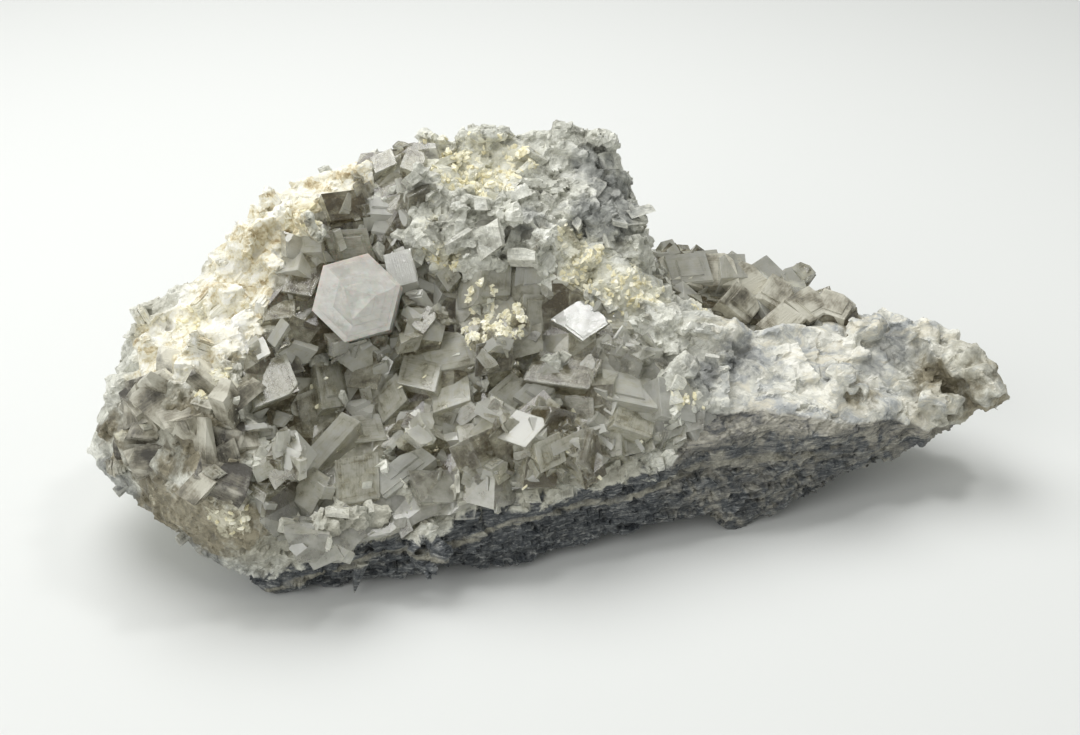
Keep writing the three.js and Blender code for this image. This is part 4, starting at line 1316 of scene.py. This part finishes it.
def rockGroup():
    # the whole colour of the rock at a place, with the height of its fine relief
    tree, given, output = newGroup(
        "rockColour", "Shader", {"Place": (0, 0, 0), "Tone": 0.5, **{name: 0.0 for name in rockMasks}},
        {"Colour": "Color", "Height": "Float", "Grain": "Float"},
    )
    place = given["Place"]
    swirled = swayed(tree, place, 0.11, 11.0)
    coarse = useGroup(tree, mosaic, Place=place, Grain=3.2)
    fine = useGroup(tree, mosaic, Place=place, Grain=1.1)
    cloud = noiseNode(tree, swirled, 0.065, 5.0, 0.6)
    patches = noiseNode(tree, swirled, 0.3, 5.0, 0.6)
    speck = noiseNode(tree, place, 1.5, 4.0, 0.7)
    tone = weighted(
        tree, 0.54, (cloud, 0.9), (patches, 0.85), (coarse["Tone"], 0.2), (fine["Tone"], 0.17),
        (speck, 0.5), (given["Tone"], 0.4),
    )
    # smoother rock with wavy streaks along the right arm
    streaks = noiseNode(tree, swirled, (0.07, 0.2, 0.28), 5.0, 0.6)
    armTone = weighted(
        tree, 0.5, (streaks, 1.9), (patches, 0.7), (speck, 0.4), (coarse["Tone"], 0.16),
    )
    colour = ramp(tree, tone, rockTones["stone"])
    armColour = ramp(tree, armTone, rockTones["arm"])
    colour = blendColours(tree, times(tree, given["arm"], 0.85), colour, armColour)
    dirt = noiseNode(tree, swirled, (0.1, 0.3, 0.34), 6.0, 0.66)
    creamy = times(tree, given["arm"], spread(tree, dirt, 0.5, 0.62, 0.0, 0.75))
    colour = blendColours(tree, creamy, colour, (0.76, 0.71, 0.57))
    # wisps: thin pale and grey veins that run with the beds
    for scale, veil, tint in rockVeins:
        away = mathNode(tree, "ABSOLUTE", minus(tree, noiseNode(tree, swirled, scale, 4.0, 0.5), 0.5))
        thin = spread(tree, away, 0.0, 0.025, 1.0, 0.0)
        wisp = times(tree, thin, spread(tree, speck, 0.35, 0.6))
        colour = blendColours(tree, times(tree, wisp, veil), colour, tint)
    for name, looks in rockPatches.items():
        share = patchOf(tree, place, given[name], *looks)
        colour = blendColours(tree, share, colour, ramp(tree, tone, rockTones[name]))
    # the dark foliated base with a pale bed in it, and paler beds under the right arm
    waves = noiseNode(tree, place, (0.06, 0.06, 0.2), 4.0, 0.55)
    bed = plus(tree, given["bed"], mathNode(tree, "MULTIPLY_ADD", waves, 7.0, -3.5))
    leaves = noiseNode(tree, place, (0.35, 0.35, 2.6), 5.0, 0.72)
    bands = noiseNode(tree, swirled, (0.1, 0.1, 0.55), 4.0, 0.6)
    underTone = weighted(tree, 0.47, (leaves, 0.8), (bands, 1.3), (speck, 0.3))
    underColour = ramp(tree, underTone, rockTones["underBeds"])
    under = patchOf(tree, place, given["under"], 2.5, 0.12, 0.12)
    colour = blendColours(tree, under, colour, underColour)
    darkTone = weighted(
        tree, 0.47, (leaves, 1.3), (fine["Tone"], 0.16), (speck, 0.4), (given["Tone"], 0.15),
    )
    low, top, soft = bedEdges["stripLow"], bedEdges["stripTop"], bedEdges["soft"]
    strip = times(
        tree, spread(tree, bed, low - soft, low + soft), spread(tree, bed, top + soft, top - soft),
    )
    worn = times(tree, strip, spread(tree, bands, 0.38, 0.55, 0.25, 0.9))
    paleBed = ramp(tree, tone, rockTones["paleBed"])
    dark = blendColours(tree, worn, ramp(tree, darkTone, rockTones["dark"]), paleBed)
    ragTop = plus(tree, bed, mathNode(tree, "MULTIPLY_ADD", patches, 13.0, -6.5))
    top, soft = bedEdges["darkTop"], bedEdges["topSoft"]
    colour = blendColours(tree, spread(tree, ragTop, top + soft, top - soft), colour, dark)
    mixed = times(tree, given["under"], spread(tree, patches, 0.42, 0.6, 0.0, 0.85))
    colour = blendColours(tree, mixed, colour, underColour)
    height = plus(tree, times(tree, speck, 0.7), times(tree, coarse["Seam"], -0.25))
    height = times(tree, plus(tree, height, leaves), spread(tree, given["arm"], 0.0, 1.0, 1.0, 0.4))
    feed(tree, output, {"Colour": colour, "Height": height, "Grain": fine["Tone"]})
    return tree


def rimGroup():
    # how near a point is to the edges of its own face, as ragged rims and growth lines
    tree, given, output = newGroup(
        "faceRims", "Shader",
        {"Across": (0, 0, 0), "Half": (4, 4, 0), "Place": (0, 0, 0), "Width": 0.8},
        {"Rim": "Float", "Edge": "Float", "Line": "Float"},
    )
    inside = vectorNode(tree, "SUBTRACT", given["Half"], vectorNode(tree, "ABSOLUTE", given["Across"]))
    inset = addNode(tree, "ShaderNodeSeparateXYZ", {0: inside}).outputs
    toEdge = mathNode(tree, "MINIMUM", inset["X"], inset["Y"])
    uneven = mathNode(tree, "MULTIPLY_ADD", noiseNode(tree, given["Place"], 0.9, 3.0, 0.6), 0.9, -0.45)
    share = mathNode(tree, "DIVIDE", plus(tree, toEdge, uneven), given["Width"])
    offLine = mathNode(tree, "ABSOLUTE", minus(tree, share, 1.7))
    feed(tree, output, {
        "Rim": spread(tree, share, 1.15, 0.75),
        "Edge": spread(tree, mathNode(tree, "DIVIDE", toEdge, given["Width"]), 0.32, 0.1),
        "Line": spread(tree, offLine, 0.3, 0.05),
    })
    return tree


mosaic = mosaicGroup()
ragged = patchGroup()
rockColour = rockGroup()
faceRims = rimGroup()


def newMaterial(name):
    material = bpy.data.materials.new(name)
    material.use_nodes = True
    tree = material.node_tree
    return material, tree, tree.nodes["Principled BSDF"]


def finishMaterial(tree, shader, colour, roughness, relief, strength, depth, **normal):
    # the relief tilts the shine by its strength, over a depth in metres
    inputs = {"Height": relief, "Strength": strength, "Distance": depth, **normal}
    bump = addNode(tree, "ShaderNodeBump", inputs).outputs[0]
    feed(tree, shader, {"Base Color": colour, "Roughness": roughness, "Normal": bump})


def inMillimetres(tree):
    return scaledVector(tree, addNode(tree, "ShaderNodeTexCoord").outputs["Object"], 1 / mm)


def attributeOf(tree, name):
    return addNode(tree, "ShaderNodeAttribute", attribute_name=name).outputs["Fac"]


def rockLooks(tree, place):
    masks = {name: attributeOf(tree, name) for name in rockMasks}
    return useGroup(tree, rockColour, Place=place, Tone=attributeOf(tree, "tone"), **masks)


def facetNormal(tree, place, coarse, fine):
    # the shine of crystalline rock: two sizes of small facets
    normal = addNode(tree, "ShaderNodeNewGeometry").outputs["Normal"]
    for grain, facet in ((2.6, coarse), (0.8, fine)):
        facets = useGroup(tree, mosaic, Place=place, Grain=grain, Facet=facet, Normal=normal)
        normal = facets["Normal"]
    return normal


def rimsOf(tree, place, width):
    across = addNode(tree, "ShaderNodeUVMap", uv_map="across").outputs[0]
    half = addNode(tree, "ShaderNodeUVMap", uv_map="half").outputs[0]
    return across, useGroup(tree, faceRims, Across=across, Half=half, Place=place, Width=width)


def rockMaterial():
    material, tree, shader = newMaterial("dolomite_rock")
    place = inMillimetres(tree)
    rock = rockLooks(tree, place)
    # painted shade: the colour is darkened strongly in crevices and a little on flats, so that ridges
    # stand paler
    point = addNode(tree, "ShaderNodeNewGeometry").outputs["Pointiness"]
    creviceShade = ramp(tree, point, [
        (0.38, (0.42, 0.40, 0.36)), (0.49, (0.92, 0.92, 0.92)), (0.58, (1.0, 1.0, 1.0)),
    ])
    colour = blendColours(tree, 0.85, rock["Colour"], creviceShade, "MULTIPLY")
    roughness = spread(tree, rock["Grain"], 0.0, 1.0, 0.32, 0.8)
    normal = facetNormal(tree, place, 0.16, 0.14)
    finishMaterial(tree, shader, colour, roughness, rock["Height"], 0.6, 0.00026, Normal=normal)
    return material


def cleavedMaterial():
    material, tree, shader = newMaterial("cleaved_dolomite")
    place = inMillimetres(tree)
    rock = rockLooks(tree, place)
    across, rims = rimsOf(tree, place, 0.5)
    # pale rims: partly the rock's whitish grain borders, partly a painted highlight along the edges
    colour = blendColours(tree, times(tree, rims["Rim"], 0.3), rock["Colour"], (0.78, 0.77, 0.68))
    lines = noiseNode(tree, across, (0.3, 3.2, 0), 3.0, 0.5)
    colour = blendColours(tree, spread(tree, lines, 0.5, 0.75, 0.0, 0.35), colour, (0.16, 0.155, 0.13))
    roughness = spread(tree, rock["Grain"], 0.0, 1.0, 0.18, 0.6)
    relief = plus(tree, times(tree, rock["Height"], 0.4), lines)
    normal = facetNormal(tree, place, 0.12, 0.2)
    finishMaterial(tree, shader, colour, roughness, relief, 0.5, 0.0005, Normal=normal)
    return material


def flakeMaterial():
    material, tree, shader = newMaterial("cream_flake")
    place = inMillimetres(tree)
    cloud = noiseNode(tree, place, 1.2, 4.0, 0.65)
    tone = weighted(tree, 0.55, (attributeOf(tree, "tone"), 0.5), (cloud, 0.9))
    colour = ramp(tree, tone, [
        (0.1, (0.62, 0.52, 0.26)), (0.35, (0.87, 0.80, 0.53)), (0.6, (0.94, 0.90, 0.70)),
        (0.9, (0.96, 0.94, 0.85)),
    ])
    roughness = spread(tree, tone, 0.2, 0.8, 0.45, 0.75)
    relief = noiseNode(tree, place, 2.5, 4.0, 0.7)
    finishMaterial(tree, shader, colour, roughness, relief, 0.5, 0.0003)
    return material


lumpTones = [
    (0.18, (0.06, 0.054, 0.042)), (0.36, (0.17, 0.157, 0.12)), (0.54, (0.32, 0.297, 0.23)),
    (0.76, (0.56, 0.54, 0.45)),
]


def lumpMaterial():
    # massive smoky dolomite: opaque blocks with pale borders and striated sides
    material, tree, shader = newMaterial("smoky_massive")
    place = inMillimetres(tree)
    across, rims = rimsOf(tree, place, 0.9)
    cloud = noiseNode(tree, place, 0.16, 5.0, 0.6)
    streaks = noiseNode(tree, across, (0.2, 2.6, 0), 5.0, 0.65)
    tone = weighted(tree, 0.47, (attributeOf(tree, "tone"), 0.4), (cloud, 2.0), (streaks, 0.5))
    colour = ramp(tree, tone, lumpTones)
    rim = times(tree, rims["Rim"], spread(tree, cloud, 0.42, 0.62, 0.0, 0.5))
    colour = blendColours(tree, rim, colour, (0.64, 0.62, 0.53))
    cream = patchOf(tree, place, attributeOf(tree, "cream"), 4.5, 0.35, 0.2, 0.8)
    colour = blendColours(tree, cream, colour, (0.94, 0.91, 0.78))
    roughness = spread(tree, cloud, 0.3, 0.7, 0.15, 0.45)
    pits = noiseNode(tree, place, 1.2, 4.0, 0.6)
    relief = mathNode(tree, "MULTIPLY_ADD", pits, 0.6, streaks)
    finishMaterial(tree, shader, colour, roughness, relief, 0.5, 0.0004)
    return material


smokyLook = {
    "core": [
        (0.05, (0.16, 0.13, 0.078)), (0.25, (0.47, 0.44, 0.32)), (0.5, (0.87, 0.85, 0.715)),
        (0.78, (0.99, 0.985, 0.92)),
    ],
    "milk": [(0.15, (0.50, 0.50, 0.44)), (0.45, (0.82, 0.82, 0.75)), (0.7, (0.97, 0.97, 0.92))],
    # edge is the colour of the painted highlight along the crystals' edges
    "rim": (0.95, 0.95, 0.85), "edge": (0.95, 0.95, 0.9), "stain": (0.86, 0.79, 0.55),
    "clear": 0.66, "bend": 1.68, "depth": (0.86, 0.84, 0.70, 1), "density": 45.0,
}


def crystalMaterial():
    look = smokyLook
    material, tree, shader = newMaterial("smoky_dolomite")
    place = inMillimetres(tree)
    across, rims = rimsOf(tree, place, 0.75)
    cloud = noiseNode(tree, place, 0.35, 5.0, 0.62)
    streaks = noiseNode(tree, across, (0.25, 3.0, 0), 5.0, 0.65)
    value = weighted(
        tree, 0.42, (attributeOf(tree, "tone"), 1.1), (cloud, 1.2), (streaks, 0.6), (rims["Line"], -0.12),
    )
    colour = ramp(tree, value, look["core"])
    # veils of trapped bubbles, paler rims, and a painted highlight along the edges
    patchy = noiseNode(tree, place, 0.12, 2.0, 0.5)
    veil = spread(tree, noiseNode(tree, place, 0.8, 5.0, 0.7), 0.56, 0.72, 0.0, 0.5)
    colour = blendColours(tree, veil, colour, look["rim"])
    rim = times(tree, rims["Rim"], spread(tree, patchy, 0.4, 0.65, 0.05, 0.5))
    colour = blendColours(tree, rim, colour, look["rim"])
    edgeHighlight = times(tree, rims["Edge"], spread(tree, cloud, 0.42, 0.6, 0.0, 0.7))
    colour = blendColours(tree, edgeHighlight, colour, look["edge"])
    milk = times(tree, attributeOf(tree, "milk"), spread(tree, cloud, 0.3, 0.6, 0.65, 1.0))
    milkTone = weighted(tree, 0.5, (noiseNode(tree, place, 0.22, 5.0, 0.65), 2.0), (streaks, 0.5))
    colour = blendColours(tree, milk, colour, ramp(tree, milkTone, look["milk"]))
    rust = noiseNode(tree, across, (0.3, 1.4, 0), 5.0, 0.7)
    rusty = plus(tree, attributeOf(tree, "stain"), minus(tree, rust, 0.95))
    stained = times(tree, spread(tree, rusty, 0.0, 0.4), 0.85)
    colour = blendColours(tree, stained, colour, look["stain"])
    roughness = spread(tree, cloud, 0.3, 0.7, 0.03, 0.24)
    waves = noiseNode(tree, place, 1.6, 3.0, 0.5)
    relief = mathNode(tree, "MULTIPLY_ADD", waves, 0.5, streaks)
    finishMaterial(tree, shader, colour, roughness, relief, 0.35, 0.00012)
    feed(tree, shader, {"Transmission Weight": look["clear"], "IOR": look["bend"]})
    absorbs = {"Color": look["depth"], "Density": look["density"]}
    depth = addNode(tree, "ShaderNodeVolumeAbsorption", absorbs).outputs[0]
    feed(tree, tree.nodes["Material Output"], {"Volume": depth})
    return material


def calciteMaterial():
    material, tree, shader = newMaterial("milky_calcite")
    place = inMillimetres(tree)
    cloud = noiseNode(tree, place, 0.25, 5.0, 0.6)
    veins = noiseNode(tree, place, (0.35, 0.35, 1.2), 4.0, 0.6)
    tone = weighted(tree, 0.5, (cloud, 1.1), (veins, 0.6))
    colour = ramp(tree, tone, [
        (0.2, (0.44, 0.43, 0.39)), (0.5, (0.54, 0.53, 0.485)), (0.8, (0.66, 0.65, 0.61)),
    ])
    roughness = spread(tree, cloud, 0.3, 0.7, 0.2, 0.4)
    relief = noiseNode(tree, place, 0.7, 3.0, 0.5)
    finishMaterial(tree, shader, colour, roughness, relief, 0.25, 0.0006)
    feed(tree, shader, {"IOR": 1.6, "Subsurface Weight": 0.35, "Subsurface Scale": 0.003})
    return material


rockStone = rockMaterial()
cleavedStone = cleavedMaterial()
flakeStone = flakeMaterial()
smoky = crystalMaterial()
lumpStone = lumpMaterial()
milky = calciteMaterial()
print("stage: materials")

rock = makeRock()
front = makeCrystals("front_crystal_crust", "front_crystals", frontCrystals)
finishPiece(front, "dolomite_crystal", smoky, "front_crystal_crust")
chips = makeChips(rock)
finishPiece(makeFlakes(rock, chips, front), "rock", flakeStone)
finishPiece(chips, "rock", cleavedStone)
finishPiece(makeBooks(rock), "rock", cleavedStone)
finishPiece(makeLumps(rock), "rock", lumpStone)
rockLeft = splitRock(rock)
finishPiece(rock, "rock", rockStone, "matrix_rock")
finishPiece(rockLeft, "rock", rockStone)
back = makeCrystals("back_crystal_crust", "back_crystals", backCrystals)
finishPiece(back, "dolomite_crystal", smoky, "back_crystal_crust")
finishPiece(makeCalcite(), "calcite", milky, "calcite_crystal")

# floor, light and camera
view = {"from": (0, -285.79, 197), "to": (0, 0, 32), "fieldOfView": 40, "film": 36, "nearest": 0.01}
lamps = {
    # place and size in metres, watts, and the point each is aimed at
    "ceiling_light": ((-0.2, 0.22, 0.62), 0.6, 3.5, (0, 0, 0)),
    "small_lamp": ((0.25, 0.10, 0.64), 0.1, 0.6, (0, 0, 0.03)),
    "window_fill": ((-0.7, -0.8, 0.6), 0.9, 4.6, (0, 0, 0.03)),
}
room = {"colour": (0.98, 1.0, 0.97, 1), "strength": 0.42}
paper = {"size": 6, "colour": (0.74, 0.75, 0.735, 1), "roughness": 0.9}  # size in metres


def aimedFrom(place, target):
    return (Vector(place) - Vector(target)).to_track_quat("Z", "Y").to_euler()


deselectAll()
bpy.ops.mesh.primitive_plane_add(size=paper["size"], location=(0, 0, 0))
floor = bpy.context.object
floor.name = "floor"
material, tree, shader = newMaterial("pale_paper")
feed(tree, shader, {"Base Color": paper["colour"], "Roughness": paper["roughness"]})
floor.data.materials.append(material)

for name, (at, size, watts, target) in lamps.items():
    lamp = bpy.data.lights.new(name, "AREA")
    lamp.shape = "DISK"
    lamp.size = size
    lamp.energy = watts
    holder = bpy.data.objects.new(name, lamp)
    bpy.context.scene.collection.objects.link(holder)
    holder.location = at
    holder.rotation_euler = aimedFrom(at, target)

surround = bpy.data.worlds.new("pale_room")
bpy.context.scene.world = surround
surround.use_nodes = True
background = surround.node_tree.nodes["Background"]
feed(surround.node_tree, background, {"Color": room["colour"], "Strength": room["strength"]})

camera = bpy.data.objects.new("camera", bpy.data.cameras.new("camera"))
bpy.context.scene.collection.objects.link(camera)
camera.location = world(view["from"])
camera.rotation_euler = aimedFrom(world(view["from"]), world(view["to"]))
camera.data.sensor_width = view["film"]
camera.data.angle = math.radians(view["fieldOfView"])
camera.data.clip_start = view["nearest"]
bpy.context.scene.camera = camera
bpy.context.scene.view_settings.view_transform = "Standard"
